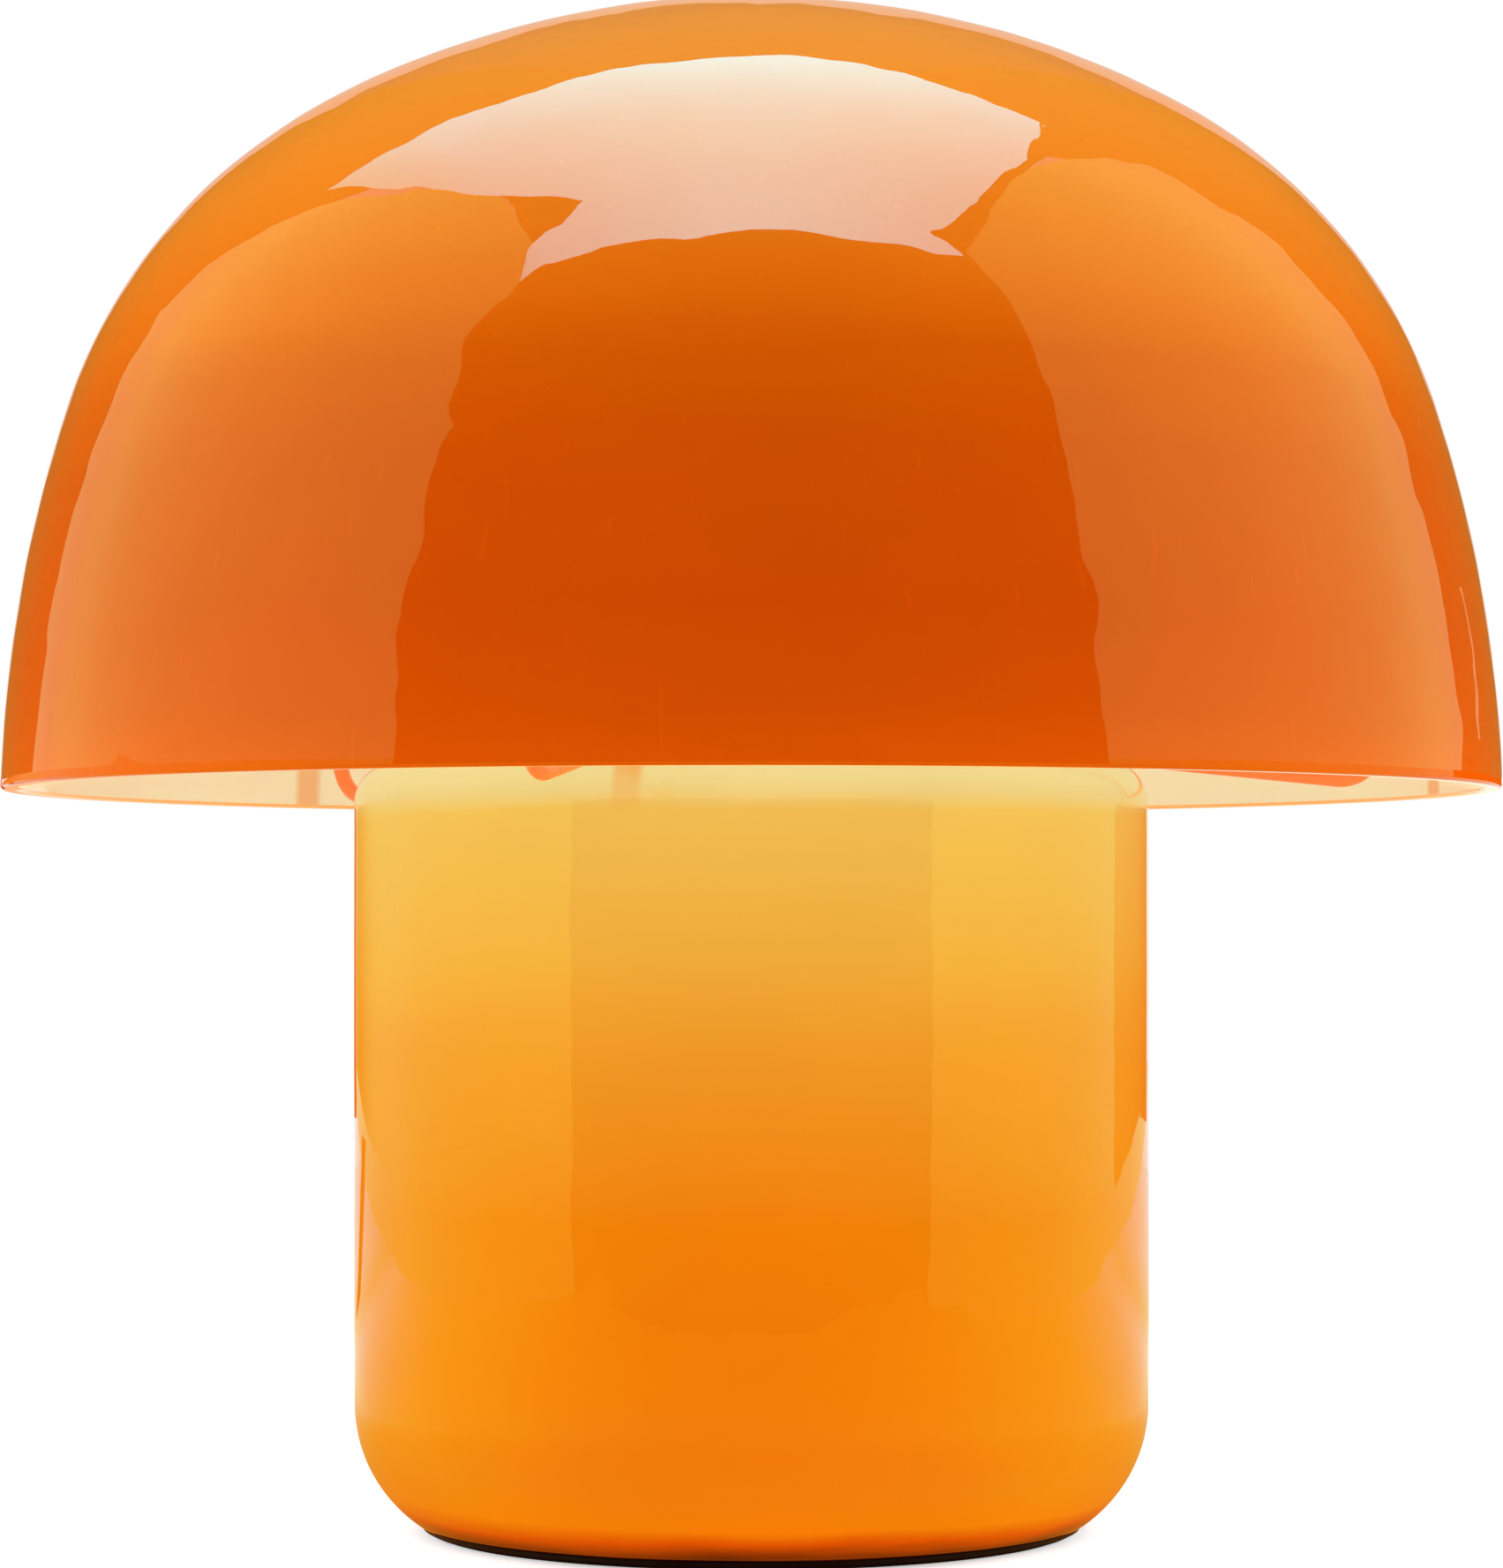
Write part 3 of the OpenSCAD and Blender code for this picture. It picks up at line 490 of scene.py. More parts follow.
def blown_glass_tree():
    """Turns an outline, given as a row of vertices, round Z, and ripples its outer rows."""
    tree = bpy.data.node_groups.new("blown_glass", "GeometryNodeTree")
    face = tree.interface
    face.new_socket("Outline", in_out="INPUT", socket_type="NodeSocketGeometry")
    for name, kind in (("Steps Round", "Int"), ("Outer Rows", "Int"), ("Edge Rows", "Int"),
                       ("Ripple Size", "Float"), ("Ripple Height", "Float"),
                       ("Swell Size", "Float"), ("Swell Height", "Float"),
                       ("Calm Height", "Float"), ("Calm Reach", "Float"), ("Seed", "Float"),
                       ("Outline Falls", "Bool"),
                       ("Outer Glass", "Material"), ("Edge Glass", "Material"),
                       ("Inner Glass", "Material")):
        face.new_socket(name, in_out="INPUT", socket_type="NodeSocket" + kind)
    face.new_socket("Glass", in_out="OUTPUT", socket_type="NodeSocketGeometry")
    given = tree.nodes.new("NodeGroupInput").outputs
    rows = add_node(tree, "GeometryNodeAttributeDomainSize", {"component": "MESH"},
                    Geometry=given["Outline"]).outputs["Point Count"]
    grid = add_node(tree, "GeometryNodeMeshGrid", Vertices_Y=rows,
                    Vertices_X=maths(tree, "ADD", given["Steps Round"], 1))
    index = tree.nodes.new("GeometryNodeInputIndex").outputs[0]
    row = maths(tree, "MODULO", index, rows)
    column = maths(tree, "FLOOR", maths(tree, "DIVIDE", index, rows))
    turn = maths(tree, "MULTIPLY", maths(tree, "DIVIDE", column, given["Steps Round"]), math.tau)
    place = tree.nodes.new("GeometryNodeInputPosition").outputs[0]
    sample = add_node(tree, "GeometryNodeSampleIndex", {"data_type": "FLOAT_VECTOR"},
                      Geometry=given["Outline"], Value=place, Index=row)
    turned = add_node(tree, "ShaderNodeVectorRotate", {"rotation_type": "Z_AXIS"},
                      Vector=sample.outputs[0], Angle=turn)
    laid = add_node(tree, "GeometryNodeSetPosition", Geometry=grid.outputs["Mesh"],
                    Position=turned.outputs[0])
    marked = add_node(tree, "GeometryNodeStoreNamedAttribute",
                      {"data_type": "FLOAT", "domain": "POINT"},
                      Geometry=laid.outputs[0], Name="row", Value=row)
    face_row = maths(tree, "MODULO", index, maths(tree, "SUBTRACT", rows, 1))
    banded = add_node(tree, "GeometryNodeStoreNamedAttribute",
                      {"data_type": "FLOAT", "domain": "FACE"},
                      Geometry=marked.outputs[0], Name="band", Value=face_row)
    joined = add_node(tree, "GeometryNodeMergeByDistance", Geometry=banded.outputs[0],
                      Distance=weld_gap)

    def wave(size, height, scale_seed):
        """A noise of that wave length, from minus to plus that height."""
        scale = maths(tree, "DIVIDE", 1.0, size)
        noise = add_node(tree, "ShaderNodeTexNoise", {"noise_dimensions": "4D"}, Vector=place,
                         W=maths(tree, "ADD", given["Seed"], scale_seed), Scale=scale, Detail=1.0)
        middle = maths(tree, "SUBTRACT", noise.outputs["Fac"], 0.5)
        return maths(tree, "MULTIPLY", middle, maths(tree, "MULTIPLY", height, 2.0))

    ripples = wave(given["Ripple Size"], given["Ripple Height"], 0.0)
    swells = wave(given["Swell Size"], given["Swell Height"], 7.0)
    high = add_node(tree, "ShaderNodeSeparateXYZ", Vector=place).outputs["Z"]
    from_calm = maths(tree, "ABSOLUTE", maths(tree, "SUBTRACT", high, given["Calm Height"]))
    fade = maths(tree, "DIVIDE", from_calm, given["Calm Reach"], clamp=True)
    rise = maths(tree, "MULTIPLY", maths(tree, "ADD", ripples, swells), fade)
    out = tree.nodes.new("GeometryNodeInputNormal").outputs[0]
    offset = add_node(tree, "ShaderNodeVectorMath", {"operation": "SCALE"}, Vector=out, Scale=rise)
    kept_row = add_node(tree, "GeometryNodeInputNamedAttribute", {"data_type": "FLOAT"}, Name="row")
    outer = maths(tree, "LESS_THAN", kept_row.outputs["Attribute"], given["Outer Rows"])
    rippled = add_node(tree, "GeometryNodeSetPosition", Geometry=joined.outputs[0],
                       Selection=outer, Offset=offset.outputs[0])
    outward = add_node(tree, "GeometryNodeFlipFaces", Mesh=rippled.outputs[0],
                       Selection=given["Outline Falls"])
    smooth = add_node(tree, "GeometryNodeSetShadeSmooth", Geometry=outward.outputs[0])
    real = add_node(tree, "GeometryNodeRealizeInstances", Geometry=smooth.outputs[0])
    band = add_node(tree, "GeometryNodeInputNamedAttribute", {"data_type": "FLOAT"}, Name="band")
    band = band.outputs["Attribute"]
    not_outer = maths(tree, "GREATER_THAN", band, maths(tree, "SUBTRACT", given["Outer Rows"], 0.5))
    last_edge = maths(tree, "ADD", given["Outer Rows"], given["Edge Rows"])
    inner = maths(tree, "GREATER_THAN", band, maths(tree, "SUBTRACT", last_edge, 1.5))
    geometry = add_node(tree, "GeometryNodeSetMaterial", Geometry=real.outputs[0],
                        Material=given["Outer Glass"])
    geometry = add_node(tree, "GeometryNodeSetMaterial", Geometry=geometry.outputs[0],
                        Selection=not_outer, Material=given["Edge Glass"])
    geometry = add_node(tree, "GeometryNodeSetMaterial", Geometry=geometry.outputs[0],
                        Selection=inner, Material=given["Inner Glass"])
    output = tree.nodes.new("NodeGroupOutput")
    tree.links.new(geometry.outputs[0], output.inputs["Glass"])
    return tree


def grown(name, tree, mesh, **values):
    """A plain mesh object: what the tree makes of the mesh with these inputs."""
    seed = new_object(name + "_outline", mesh)
    modifier = seed.modifiers.new("made", "NODES")
    modifier.node_group = tree
    for item in tree.interface.items_tree:
        key = item.name.replace(" ", "_").lower()
        if item.in_out == "INPUT" and key in values:
            modifier[item.identifier] = values[key]
    seed.update_tag()
    bpy.context.view_layer.update()
    evaluated = seed.evaluated_get(bpy.context.evaluated_depsgraph_get())
    made = bpy.data.meshes.new_from_object(evaluated)
    seed.modifiers.remove(modifier)
    bpy.data.objects.remove(seed)
    made.name = name
    for spare in ("row", "band"):
        if spare in made.attributes:
            made.attributes.remove(made.attributes[spare])
    return new_object(name, made)


def arc(centre, radius, start, end, steps):
    """Points on an arc in the XZ plane, with angles in degrees from upright."""
    turns = [math.radians(start + (end - start) * i / steps) for i in range(steps + 1)]
    return [(centre[0] + radius * math.sin(a), centre[1] + radius * math.cos(a)) for a in turns]


def outline_mesh(name, points):
    """An outline in the XZ plane as a row of vertices and edges."""
    mesh = bpy.data.meshes.new(name)
    edges = [(i, i + 1) for i in range(len(points) - 1)]
    mesh.from_pydata([(x, 0, z) for x, z in points], edges, [])
    return mesh


def height_of(tree):
    """The height over the table."""
    place = tree.nodes.new("ShaderNodeTexCoord").outputs["Object"]
    return add_node(tree, "ShaderNodeSeparateXYZ", Vector=place).outputs["Z"]


# Cords in the gather, mottling, seeds and hair scratches of hand-blown glass
glass_marks, given, result = new_group(
    "glass_marks", ["Cord Size", "Seed Size"], ["Cords", "Mottle", "Seeds", "Hairs", "Height"])
tree = glass_marks
inverse = maths(tree, "DIVIDE", 1.0, given["Cord Size"])
cords = add_node(tree, "ShaderNodeTexNoise", Vector=object_place(tree, cord_draw),
                 Scale=inverse, Detail=3.0, Distortion=0.6)
mottle = add_node(tree, "ShaderNodeTexNoise", Vector=object_place(tree), Scale=inverse, Detail=4.0)
seed_scale = maths(tree, "DIVIDE", 1.0, given["Seed Size"])
seeds = add_node(tree, "ShaderNodeTexVoronoi", Vector=object_place(tree), Scale=seed_scale)
seed_dot = maths(tree, "LESS_THAN", seeds.outputs["Distance"], seed_dot_size)
hairs = add_node(tree, "ShaderNodeTexNoise", Vector=object_place(tree, hair_draw),
                 Scale=hair_scale, Detail=0.0)
hair_line = add_node(tree, "ShaderNodeMapRange", Value=hairs.outputs["Fac"], From_Min=hair_from,
                     From_Max=hair_to)
fine = add_node(tree, "ShaderNodeTexNoise", Vector=object_place(tree), Scale=skin_scale, Detail=1.0)
tree.links.new(cords.outputs["Fac"], result["Cords"])
tree.links.new(mottle.outputs["Fac"], result["Mottle"])
tree.links.new(seed_dot, result["Seeds"])
tree.links.new(hair_line.outputs["Result"], result["Hairs"])
tree.links.new(maths(tree, "ADD", fine.outputs["Fac"], seed_dot), result["Height"])


# Soft shadows of the three arms, as the bulb in the middle throws them on the glass
arm_shadows, given, result = new_group("arm_shadows", ["Half Width"], ["Shadow"])
tree = arm_shadows
flat = add_node(tree, "ShaderNodeVectorMath", {"operation": "NORMALIZE"},
                Vector=object_place(tree, (1, 1, 0)))
nearest = -1.0
for turn in arm_turns.values():
    way = (math.cos(math.radians(turn)), math.sin(math.radians(turn)), 0)
    along = add_node(tree, "ShaderNodeVectorMath", {"operation": "DOT_PRODUCT"},
                     values=[flat.outputs["Vector"], way])
    nearest = maths(tree, "MAXIMUM", nearest, along.outputs["Value"])
squared = maths(tree, "MULTIPLY", given["Half Width"], given["Half Width"])
shadow = add_node(tree, "ShaderNodeMapRange", {"interpolation_type": "SMOOTHSTEP"}, Value=nearest,
                  From_Min=maths(tree, "SUBTRACT", 1.0, squared),
                  From_Max=maths(tree, "SUBTRACT", 1.0, maths(tree, "MULTIPLY", squared, shadow_core)))
tree.links.new(shadow.outputs["Result"], result["Shadow"])


def cased_glass(name, low, high, stops, body, glow, edge_sheen_tint, rim_high, shadow_foot, hairs=0.0,
                cords=0.045):
    """Cased glass over opal, coloured by height: its body, and the light that comes through painted
    in as a glow. The colours by height hold painted light and shade besides the glass's own tone.

    Below rim_high its light turns by the edge tint where the glass is seen at a slant: a painted
    sheen, partly for the clear casing and partly for what the low edges reflect. The arms' painted
    shadows reach down to shadow_foot.
    """
    made, tree, output = new_material(name)
    high_up = height_of(tree)
    share = add_node(tree, "ShaderNodeMapRange", Value=high_up, From_Min=low, From_Max=high)
    marks = use_group(tree, glass_marks, Cord_Size=cord_size, Seed_Size=seed_size)
    wander = maths(tree, "MULTIPLY", maths(tree, "SUBTRACT", marks["Cords"], 0.5), cords)
    share = maths(tree, "ADD", share.outputs["Result"], wander, clamp=True)
    marked = maths(tree, "ADD", between(tree, marks["Mottle"], mottle_low, mottle_high),
                   between(tree, marks["Hairs"], 0.0, hairs))
    colour = add_node(tree, "ShaderNodeVectorMath", {"operation": "SCALE"},
                      Vector=ramp(tree, share, stops), Scale=marked)
    shadow = use_group(tree, arm_shadows, Half_Width=shadow_half_width)["Shadow"]
    shadow_down = add_node(tree, "ShaderNodeMapRange", Value=high_up, From_Min=shadow_foot,
                           From_Max=shadow_foot + shadow_fade)
    colour = tinted(tree, colour.outputs[0], shadow_tint,
                    maths(tree, "MULTIPLY", shadow, shadow_down.outputs["Result"]))
    body_colour = add_node(tree, "ShaderNodeVectorMath", {"operation": "SCALE"},
                           Vector=colour, Scale=body)
    bump = add_node(tree, "ShaderNodeBump", Height=marks["Height"], Strength=skin_strength,
                    Distance=skin_depth)
    slant = add_node(tree, "ShaderNodeLayerWeight", Blend=0.5).outputs["Facing"]
    slant = add_node(tree, "ShaderNodeMapRange", Value=slant, From_Max=slant_full)
    low_down = add_node(tree, "ShaderNodeMapRange", Value=high_up, From_Min=rim_high,
                        From_Max=rim_fade * rim_high)
    turned = maths(tree, "MULTIPLY", slant.outputs["Result"], low_down.outputs["Result"])
    mirrored = add_node(tree, "ShaderNodeFresnel", IOR=glass_ior, Normal=bump.outputs["Normal"])
    light = add_node(tree, "ShaderNodeVectorMath", {"operation": "SCALE"},
                     Vector=tinted(tree, colour, edge_sheen_tint, turned),
                     Scale=maths(tree, "SUBTRACT", 1.0, mirrored.outputs[0]))
    shader = add_node(tree, "ShaderNodeBsdfPrincipled", Base_Color=body_colour.outputs[0],
                      Roughness=between(tree, marks["Seeds"], clean_rough, seed_rough),
                      IOR=glass_ior, Normal=bump.outputs["Normal"],
                      Emission_Color=light.outputs[0], Emission_Strength=glow)
    tree.links.new(shader.outputs[0], output.inputs["Surface"])
    return made


# Base glass
# One blown body of amber glass over opal, ground flat below round a hole for the foot plate.
# Its wall turns in at the top to a narrow lip, on which the three arms lie.
base_low, base_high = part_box("base_glass")
base_r = base_high.x
base_wall = 0.004
base_corner_r = 0.034
base_shoulder_r = 0.0094
base_lip_w = 0.012
ground_drop = 0.0279
floor_hole_r = 0.038
inlet_z = 0.042
inlet_r = 0.0061
drill_sides, drill_length = 48, 6 * base_wall
base_shadow_drop = 0.014
opal_cord_size, opal_seed_size = 0.06, 0.03
opal_low, opal_high = 0.93, 1.05
opal_shadow_half_width, opal_shadow_tint = 0.02, (0.97, 0.6, 0.42)

corner_c = (base_r - base_corner_r, base_low.z + ground_drop)
corner_turn = 180 - math.degrees(math.acos(ground_drop / base_corner_r))
inner_corner_r = base_corner_r - base_wall
inner_turn = 180 - math.degrees(math.acos((ground_drop - base_wall) / inner_corner_r))
lip_c = (base_r - base_shoulder_r, base_high.z - base_shoulder_r)
lip_edge_c = (lip_c[0] - base_lip_w + base_wall / 2, base_high.z - base_wall / 2)
corner_end = arc(corner_c, base_corner_r, corner_turn, 90, 26)
wall_steps = 62
wall_up = [(base_r, corner_c[1] + (lip_c[1] - corner_c[1]) * i / wall_steps)
           for i in range(1, wall_steps)]
outer = corner_end + wall_up + arc(lip_c, base_shoulder_r, 90, 0, 12)
lip = arc(lip_edge_c, base_wall / 2, 0, -180, 10)
inner = (arc(lip_c, base_shoulder_r - base_wall, 0, 90, 8)
         + [(base_r - base_wall, corner_c[1] + (lip_c[1] - corner_c[1]) * i / 20)
            for i in range(19, 0, -1)]
         + arc(corner_c, inner_corner_r, 90, inner_turn, 14)
         + [(floor_hole_r, base_low.z + base_wall), (floor_hole_r, base_low.z)])
ground = [(floor_hole_r, base_low.z)]
base_outline = outline_mesh("base_outline", ground + outer + lip + inner)

# Most of the base glass's colour is a glow: the bulb's light through it, painted in. Its colours by
# height hold painted light and shade besides the amber: painted shade darkens the foot to red and black,
# and painted light turns the top pale yellow.
base_body, base_glow = 0.09, 0.91
# Painted sheen: below this height the glow turns paler where the glass is seen at a slant, partly for
# the clear casing and partly for what the low edges reflect.
base_painted_edge_sheen, base_rim_high = (1, 1.45, 1.8), 0.12
base_tone_and_painted_light = [
    (0.0, (0.05, 0.0, 0.0)), (0.02, (0.76, 0.06, 0.0)), (0.038, (0.94, 0.17, 0.001)),
    (0.085, (0.89, 0.187, 0.003)), (0.22, (0.91, 0.194, 0.001)), (0.42, (0.91, 0.218, 0.002)),
    (0.62, (0.92, 0.322, 0.018)), (0.74, (0.92, 0.43, 0.042)), (0.924, (0.92, 0.53, 0.09)),
    (0.938, (0.9, 0.6, 0.16)), (0.952, (0.88, 0.655, 0.22)), (0.965, (0.9, 0.7, 0.26)),
    (1.0, (0.89, 0.73, 0.31)),
]
amber_glass = cased_glass("amber_glass", base_low.z, base_high.z, base_tone_and_painted_light, base_body, base_glow,
                          base_painted_edge_sheen, base_rim_high, base_high.z - base_shadow_drop)


def opal_glass(name, colour, light, strength, shadow=0.0):
    """Opal lining: milky glass with the bulb's light painted in as a glow, a faint unevenness and the
    arms' painted shadows.
    """
    made, tree, output = new_material(name)
    marks = use_group(tree, glass_marks, Cord_Size=opal_cord_size, Seed_Size=opal_seed_size)
    tone = add_node(tree, "ShaderNodeVectorMath", {"operation": "SCALE"}, values=[colour],
                    Scale=between(tree, marks["Mottle"], opal_low, opal_high))
    arms = use_group(tree, arm_shadows, Half_Width=opal_shadow_half_width)["Shadow"]
    cast = maths(tree, "MULTIPLY", arms, shadow)
    shader = add_node(tree, "ShaderNodeBsdfPrincipled", Roughness=0.12, IOR=glass_ior,
                      Base_Color=tinted(tree, tone.outputs[0], opal_shadow_tint, cast),
                      Emission_Color=tinted(tree, light, opal_shadow_tint, cast),
                      Emission_Strength=strength)
    tree.links.new(shader.outputs[0], output.inputs["Surface"])
    return made


base_opal = opal_glass("base_opal", (0.84, 0.78, 0.56), (0.84, 0.7, 0.34), 0.3)
base_edge = opal_glass("base_edge", (0.9, 0.7, 0.35), (1, 0.7, 0.28), 0.3)
blown_glass = blown_glass_tree()
blown_base = grown(
    "blown_base", blown_glass, base_outline, steps_round=glass_steps,
    outer_rows=len(ground + outer), edge_rows=len(lip), ripple_size=0.009, ripple_height=0.00004,
    swell_size=0.05, swell_height=0.00012, calm_height=base_low.z, calm_reach=0.02, seed=3.0,
    outer_glass=amber_glass, edge_glass=base_edge, inner_glass=base_opal)

# The hole for the cable inlet, drilled through the back wall
drill_mesh = bpy.data.meshes.new("drill")
bore = bmesh.new()
bmesh.ops.create_cone(bore, cap_ends=True, segments=drill_sides, radius1=inlet_r,
                      radius2=inlet_r, depth=drill_length)
bmesh.ops.rotate(bore, verts=bore.verts, matrix=Matrix.Rotation(math.radians(90), 3, "X"))
bmesh.ops.translate(bore, verts=bore.verts, vec=(0, base_r - base_wall / 2, inlet_z))
bore.to_mesh(drill_mesh)
bore.free()
drill = new_object("drill", drill_mesh)
cut = blown_base.modifiers.new("inlet", "BOOLEAN")
cut.operation = "DIFFERENCE"
cut.solver = "EXACT"
cut.object = drill
bpy.context.view_layer.update()
evaluated = blown_base.evaluated_get(bpy.context.evaluated_depsgraph_get())
drilled = bpy.data.meshes.new_from_object(evaluated)
blown_base.modifiers.remove(cut)
blown_base.data = drilled
bpy.data.objects.remove(drill)
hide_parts("base_glass")
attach(blown_base, "frame")


# Cable inlet
# A plastic gland through the back wall of the base glass, held by its nut from inside.
black_plastic = finish("black_plastic", (0.014, 0.013, 0.013), (0.035, 0.033, 0.032), 0.45)
dress(black_plastic, "cable_gland", "gland_nut")


# Stem
# A zinc-plated threaded tube stands in the raised pan of the foot plate, with a steel washer
# and a brass nut below the pan, and a brass lock nut on the earth tag above it.
zinc_steel = finish("zinc_steel", (0.62, 0.62, 0.6), (0.42, 0.42, 0.4), 0.34, metallic=1.0)
brass = finish("brass", (0.78, 0.56, 0.24), (0.5, 0.33, 0.13), 0.28, metallic=1.0)
dress(zinc_steel, "plate_washer", "threaded_tube", "grub_screw")
dress(brass, "plate_nut", "earth_tag", "lock_nut")


# Lamp holder
# A moulded white holder for a screw-in bulb: cap, threaded shell, a porcelain block that
# carries the centre contact and the terminal screws, and the brass screw sleeve.
white_plastic = finish("white_plastic", (0.82, 0.8, 0.76), (0.7, 0.66, 0.58), 0.38, grain=0.0008)
porcelain = finish("porcelain", (0.86, 0.84, 0.8), (0.8, 0.77, 0.7), 0.16, grain=0.002, bump=0.03)
bronze = finish("bronze", (0.72, 0.42, 0.2), (0.48, 0.26, 0.12), 0.3, metallic=1.0)
dress(white_plastic, "holder_cap", "holder_shell", "clamp_ring_lower", "clamp_ring_upper")
dress(porcelain, "contact_block")
dress(bronze, "centre_contact")
dress(brass, "terminal_screws", "screw_sleeve")


# Arms
# Three steel wires in orange paint, set in the carrier ring that two knurled rings clamp on
# the holder. Each lies on the base glass in a soft sleeve, turns up at its elbow and ends
# in a soft cap under the shade's shoulder.
wire_r = 0.002
wire_sides, bend_steps = 20, 12
arm_start = 0.02365
gentle_bend_x, gentle_bend_r = 0.086, 0.014
elbow_x, elbow_r = 0.147, 0.01
riser_lean = 9
cap_ball_r = 0.0035
elbow_rises = {"right": 0.0024, "left": 0.0004, "front": -0.002}

bent_wire = bpy.data.node_groups.new("bent_wire", "GeometryNodeTree")
tree = bent_wire
for label, kind in (("Route", "Geometry"), ("Wire Radius", "Float"), ("Wire Sides", "Int"),
                    ("Bend Steps", "Int"), ("Paint", "Material")):
    tree.interface.new_socket(label, in_out="INPUT", socket_type="NodeSocket" + kind)
tree.interface.new_socket("Wire", in_out="OUTPUT", socket_type="NodeSocketGeometry")
given = tree.nodes.new("NodeGroupInput").outputs
route = add_node(tree, "GeometryNodeMeshToCurve", Mesh=given["Route"])
bend = add_node(tree, "GeometryNodeInputNamedAttribute", {"data_type": "FLOAT"}, Name="bend")
bent = add_node(tree, "GeometryNodeFilletCurve", {"mode": "POLY"}, Curve=route.outputs["Curve"],
                Radius=bend.outputs["Attribute"], Count=given["Bend Steps"])
ring = add_node(tree, "GeometryNodeCurvePrimitiveCircle", Resolution=given["Wire Sides"],
                Radius=given["Wire Radius"])
swept = add_node(tree, "GeometryNodeCurveToMesh", Curve=bent.outputs["Curve"],
                 Profile_Curve=ring.outputs["Curve"], Fill_Caps=True)
smooth = add_node(tree, "GeometryNodeSetShadeSmooth", Geometry=swept.outputs["Mesh"])
real = add_node(tree, "GeometryNodeRealizeInstances", Geometry=smooth.outputs[0])
painted = add_node(tree, "GeometryNodeSetMaterial", Geometry=real.outputs[0],
                   Material=given["Paint"])
tree.links.new(painted.outputs[0], tree.nodes.new("NodeGroupOutput").inputs["Wire"])


def crossing(point, way, other_point, other_way):
    """Where two lines in a plane cross."""
    gap = other_point - point
    return point + way * gap.cross(other_way) / way.cross(other_way)


# The orange paint glows a little: painted light for the bulb's light on the wires and the ring.
orange_paint = finish("orange_paint", (0.76, 0.15, 0.03), (0.7, 0.12, 0.025), 0.25, grain=0.0012,
                      bump=0.05, lit=0.5)
arm_z = (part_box("sleeve_right")[0].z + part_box("sleeve_right")[1].z) / 2
gentle_c = Vector((gentle_bend_x, arm_z - gentle_bend_r))
lean = math.radians(riser_lean)
up_riser = Vector((-math.sin(lean), math.cos(lean)))
for side, turn in arm_turns.items():
    elbow_c = Vector((elbow_x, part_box("shade_glass")[0].z + elbow_rises[side] + wire_r + elbow_r))
    way = elbow_c - gentle_c
    slope = math.atan2(way.x, way.y) - math.acos((gentle_bend_r + elbow_r) / way.length)
    on_slope = gentle_c + gentle_bend_r * Vector((math.sin(slope), math.cos(slope)))
    down = Vector((math.cos(slope), -math.sin(slope)))
    on_riser = elbow_c + elbow_r * Vector((math.cos(lean), math.sin(lean)))
    top_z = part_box("tip_" + side)[1].z - cap_ball_r
    start = Vector((arm_start, arm_z))
    route = [start, crossing(start, Vector((1, 0)), on_slope, down),
             crossing(on_slope, down, on_riser, up_riser),
             on_riser + up_riser * (top_z - on_riser.y) / up_riser.y]
    a = math.radians(turn)
    mesh = bpy.data.meshes.new("route_" + side)
    mesh.from_pydata([(p.x * math.cos(a), p.x * math.sin(a), p.y) for p in route],
                     [(0, 1), (1, 2), (2, 3)], [])
    bends = mesh.attributes.new("bend", "FLOAT", "POINT")
    bends.data.foreach_set("value", (0, gentle_bend_r, elbow_r, 0))
    arm = grown("wire_arm_" + side, bent_wire, mesh, wire_radius=wire_r, wire_sides=wire_sides,
                bend_steps=bend_steps, paint=orange_paint)
    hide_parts("arm_" + side)
    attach(arm, "frame")
dress(orange_paint, "carrier_ring")

clear_silicone = finish("clear_silicone", (0.8, 0.76, 0.7), (0.72, 0.66, 0.56), 0.4, bump=0.03)
dress(clear_silicone, "sleeve_right", "sleeve_left", "sleeve_front",
      "tip_right", "tip_left", "tip_front")


# Bulb
# An opal globe bulb on a nickelled screw cap. Inside are the glass stem, its wires and four
# yellow filaments. It screws out of the holder once the shade is off.
bulb_glow = 1.5
bulb_colour = (1.0, 0.8, 0.52)
bulb_painted_edge_shade = (0.62, 0.5, 0.36)
bulb_seen = 0.4
neck_light = 0.35

opal_bulb, tree, output = new_material("opal_bulb")
bulb_low, bulb_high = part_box("bulb_globe")
frost = use_group(tree, fine_wear, Grain_Size=0.0006, Smudge_Size=0.01)
# The globe glows less towards its neck.
neck_dimming = add_node(tree, "ShaderNodeMapRange", Value=height_of(tree), From_Min=bulb_low.z,
                   From_Max=(bulb_low.z + bulb_high.z) / 2, To_Min=neck_light)
tone = maths(tree, "MULTIPLY", neck_dimming.outputs["Result"], between(tree, frost["Smudge"], 0.95, 1.03))
# The camera sees a part of its light, so that the globe keeps its shape against the white
camera_ray = tree.nodes.new("ShaderNodeLightPath").outputs["Is Camera Ray"]
light = add_node(tree, "ShaderNodeVectorMath", {"operation": "SCALE"}, values=[bulb_colour],
                 Scale=maths(tree, "MULTIPLY", tone, between(tree, camera_ray, 1.0, bulb_seen)))
# Painted shade: to the camera the globe turns darker and warmer towards its edges.
slant = add_node(tree, "ShaderNodeLayerWeight", Blend=0.5).outputs["Facing"]
light = tinted(tree, light.outputs[0], bulb_painted_edge_shade, maths(tree, "MULTIPLY", slant, camera_ray))
shader = add_node(tree, "ShaderNodeBsdfPrincipled", Base_Color=(0.52, 0.48, 0.4, 1), IOR=1.5,
                  Roughness=between(tree, frost["Grain"], 0.16, 0.26),
                  Emission_Color=light, Emission_Strength=bulb_glow)
tree.links.new(shader.outputs[0], output.inputs["Surface"])
dress(opal_bulb, "bulb_globe")

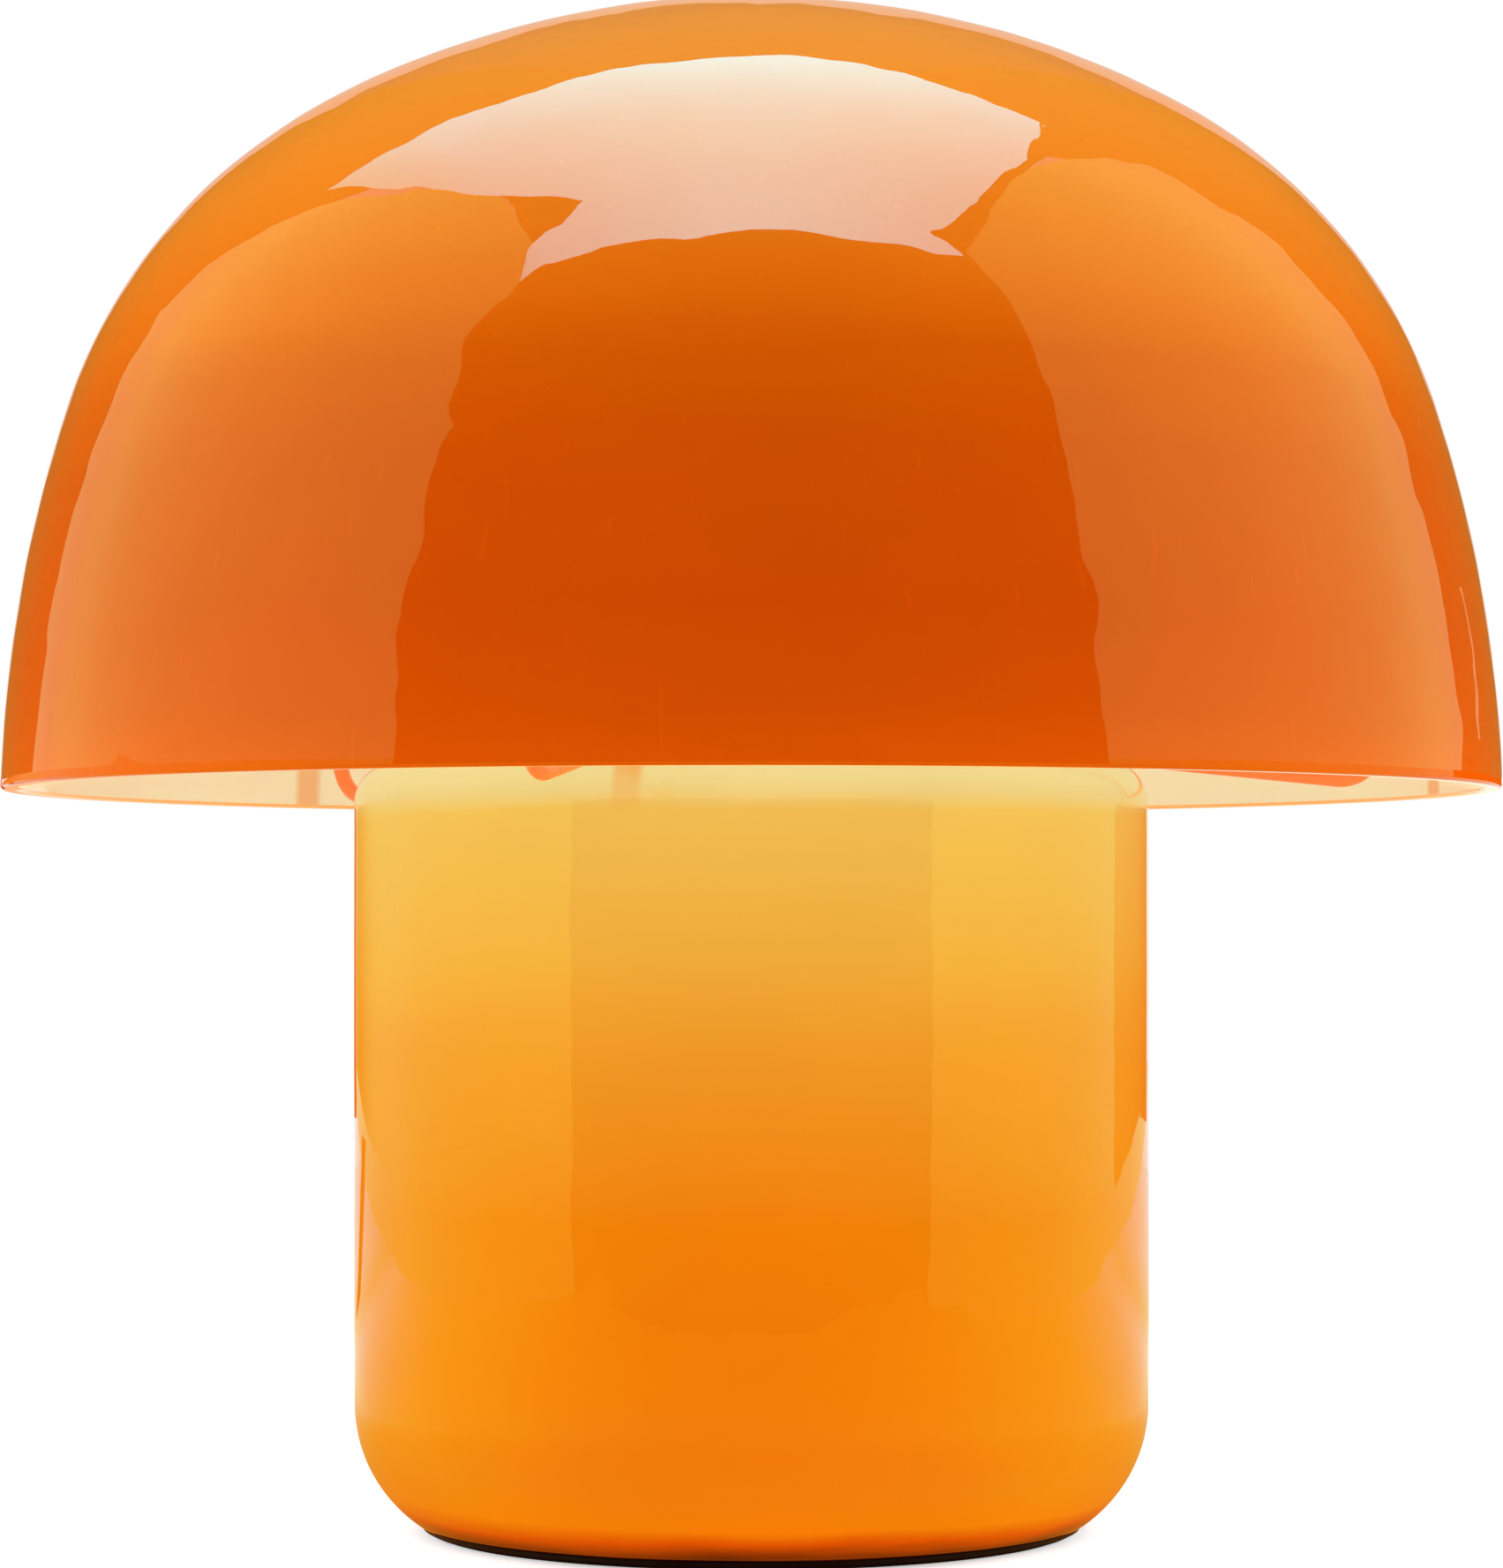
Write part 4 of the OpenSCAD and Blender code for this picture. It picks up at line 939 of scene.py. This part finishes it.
nickel = finish("nickel", (0.66, 0.63, 0.58), (0.46, 0.43, 0.38), 0.25, metallic=1.0)
black_glass = finish("black_glass", (0.01, 0.01, 0.012), (0.03, 0.03, 0.03), 0.12, bump=0.02)
solder = finish("solder", (0.55, 0.55, 0.54), (0.38, 0.37, 0.36), 0.42, metallic=1.0)
dress(nickel, "bulb_cap", "filament_wires")
dress(black_glass, "bulb_insulator")
dress(solder, "bulb_contact")

stem_glass, tree, output = new_material("stem_glass")
frost = use_group(tree, fine_wear, Grain_Size=0.0006, Smudge_Size=0.004)
shader = add_node(tree, "ShaderNodeBsdfPrincipled", Base_Color=(0.92, 0.95, 0.94, 1), IOR=1.5,
                  Roughness=between(tree, frost["Smudge"], 0.03, 0.12), Transmission_Weight=0.9)
tree.links.new(shader.outputs[0], output.inputs["Surface"])
dress(stem_glass, "bulb_stem")

filament, tree, output = new_material("filament")
beads = use_group(tree, fine_wear, Grain_Size=0.001, Smudge_Size=0.003)
tone = add_node(tree, "ShaderNodeMix", {"data_type": "RGBA"}, A=(0.85, 0.55, 0.08, 1),
                B=(0.95, 0.72, 0.2, 1), Factor=beads["Grain"])
shader = add_node(tree, "ShaderNodeBsdfPrincipled", Base_Color=tone.outputs["Result"], IOR=1.5,
                  Roughness=0.5, Emission_Color=tone.outputs["Result"], Emission_Strength=2.0)
tree.links.new(shader.outputs[0], output.inputs["Surface"])
dress(filament, "led_filaments")


# Shade
# The blown dome of deep orange glass, clear outside and opal inside, with a ground rim.
# It hangs by its own weight on the soft caps of the three arms, and lifts straight off.
shade_low, shade_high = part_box("shade_glass")
rim_r, rim_z, top_z = shade_high.x, shade_low.z, shade_high.z
shade_wall = 0.004
crown_r, shoulder_r, side_r = 0.212, 0.123, 0.310
rim_lean = 1.5
rim_round = 0.0009

side_turn = 90 - rim_lean
side_c = Vector((rim_r - side_r * math.sin(math.radians(side_turn)),
                 rim_z - side_r * math.cos(math.radians(side_turn))))
crown_c = Vector((0, top_z - crown_r))
apart = side_c - crown_c
crown_reach, side_reach = crown_r - shoulder_r, side_r - shoulder_r
along = (crown_reach ** 2 - side_reach ** 2 + apart.length ** 2) / (2 * apart.length)
across = math.sqrt(crown_reach ** 2 - along ** 2)
way = apart.normalized()
shoulder_c = crown_c + along * way + across * Vector((way.y, -way.x))
crown_turn = math.degrees(math.atan2(shoulder_c.x, shoulder_c.y - crown_c.y))
shoulder_turn = math.degrees(math.atan2(shoulder_c.x - side_c.x, shoulder_c.y - side_c.y))


def dome(inset, steps):
    """The dome's outline from the crown down to the rim, inset from the outside."""
    return (arc(crown_c, crown_r - inset, 0, crown_turn, steps[0])
            + arc(shoulder_c, shoulder_r - inset, crown_turn, shoulder_turn, steps[1])[1:]
            + arc(side_c, side_r - inset, shoulder_turn, side_turn, steps[2])[1:])


outer = (dome(0, (44, 38, 38))[:-1]
         + arc((rim_r - rim_round, rim_z + rim_round), rim_round, 90, 165, 5))
outer[0] = (0, top_z)
rim = ([(rim_r - rim_round, rim_z)]
       + arc((rim_r - shade_wall + rim_round, rim_z + rim_round), rim_round, 180, 270, 4))
inner = dome(shade_wall, (16, 16, 14))[-2::-1]
inner[-1] = (0, top_z - shade_wall)
shade_outline = outline_mesh("shade_outline", outer + rim + inner)

# The shade's glass is partly a glow: the bulb's light through it, painted in. Its colours by height grow
# lighter towards the crown, painted light where the bulb and the light from above fall, and are a little
# lighter again at the rim.
shade_body, shade_glow = 0.65, 0.4
shade_tone_and_painted_light = [
    (0.0, (0.69, 0.083, 0.0)), (0.06, (0.62, 0.071, 0.0)), (0.17, (0.58, 0.063, 0.0)),
    (0.36, (0.575, 0.071, 0.0)), (0.46, (0.605, 0.088, 0.0)), (0.56, (0.69, 0.138, 0.003)),
    (0.7, (0.74, 0.195, 0.01)), (0.86, (0.77, 0.26, 0.022)), (1.0, (0.8, 0.3, 0.034)),
]
orange_glass = cased_glass("orange_glass", rim_z, top_z, shade_tone_and_painted_light, shade_body, shade_glow,
                           (1, 1, 1), rim_z, top_z, hairs=0.07, cords=0.06)
shade_opal = opal_glass("shade_opal", (0.71, 0.64, 0.46), (0.56, 0.55, 0.41), 0.45, shadow=1.0)
shade_edge = opal_glass("shade_edge", (0.85, 0.4, 0.15), (0.9, 0.42, 0.14), 0.35)
blown_shade = grown(
    "blown_shade", blown_glass, shade_outline, steps_round=glass_steps,
    outer_rows=len(outer), edge_rows=len(rim), ripple_size=0.011, ripple_height=0.00013,
    swell_size=0.04, swell_height=0.0003, calm_height=rim_z, calm_reach=0.012, seed=11.0,
    outline_falls=True,
    outer_glass=orange_glass, edge_glass=shade_edge, inner_glass=shade_opal)
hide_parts("shade_glass")
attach(blown_shade, "shade")
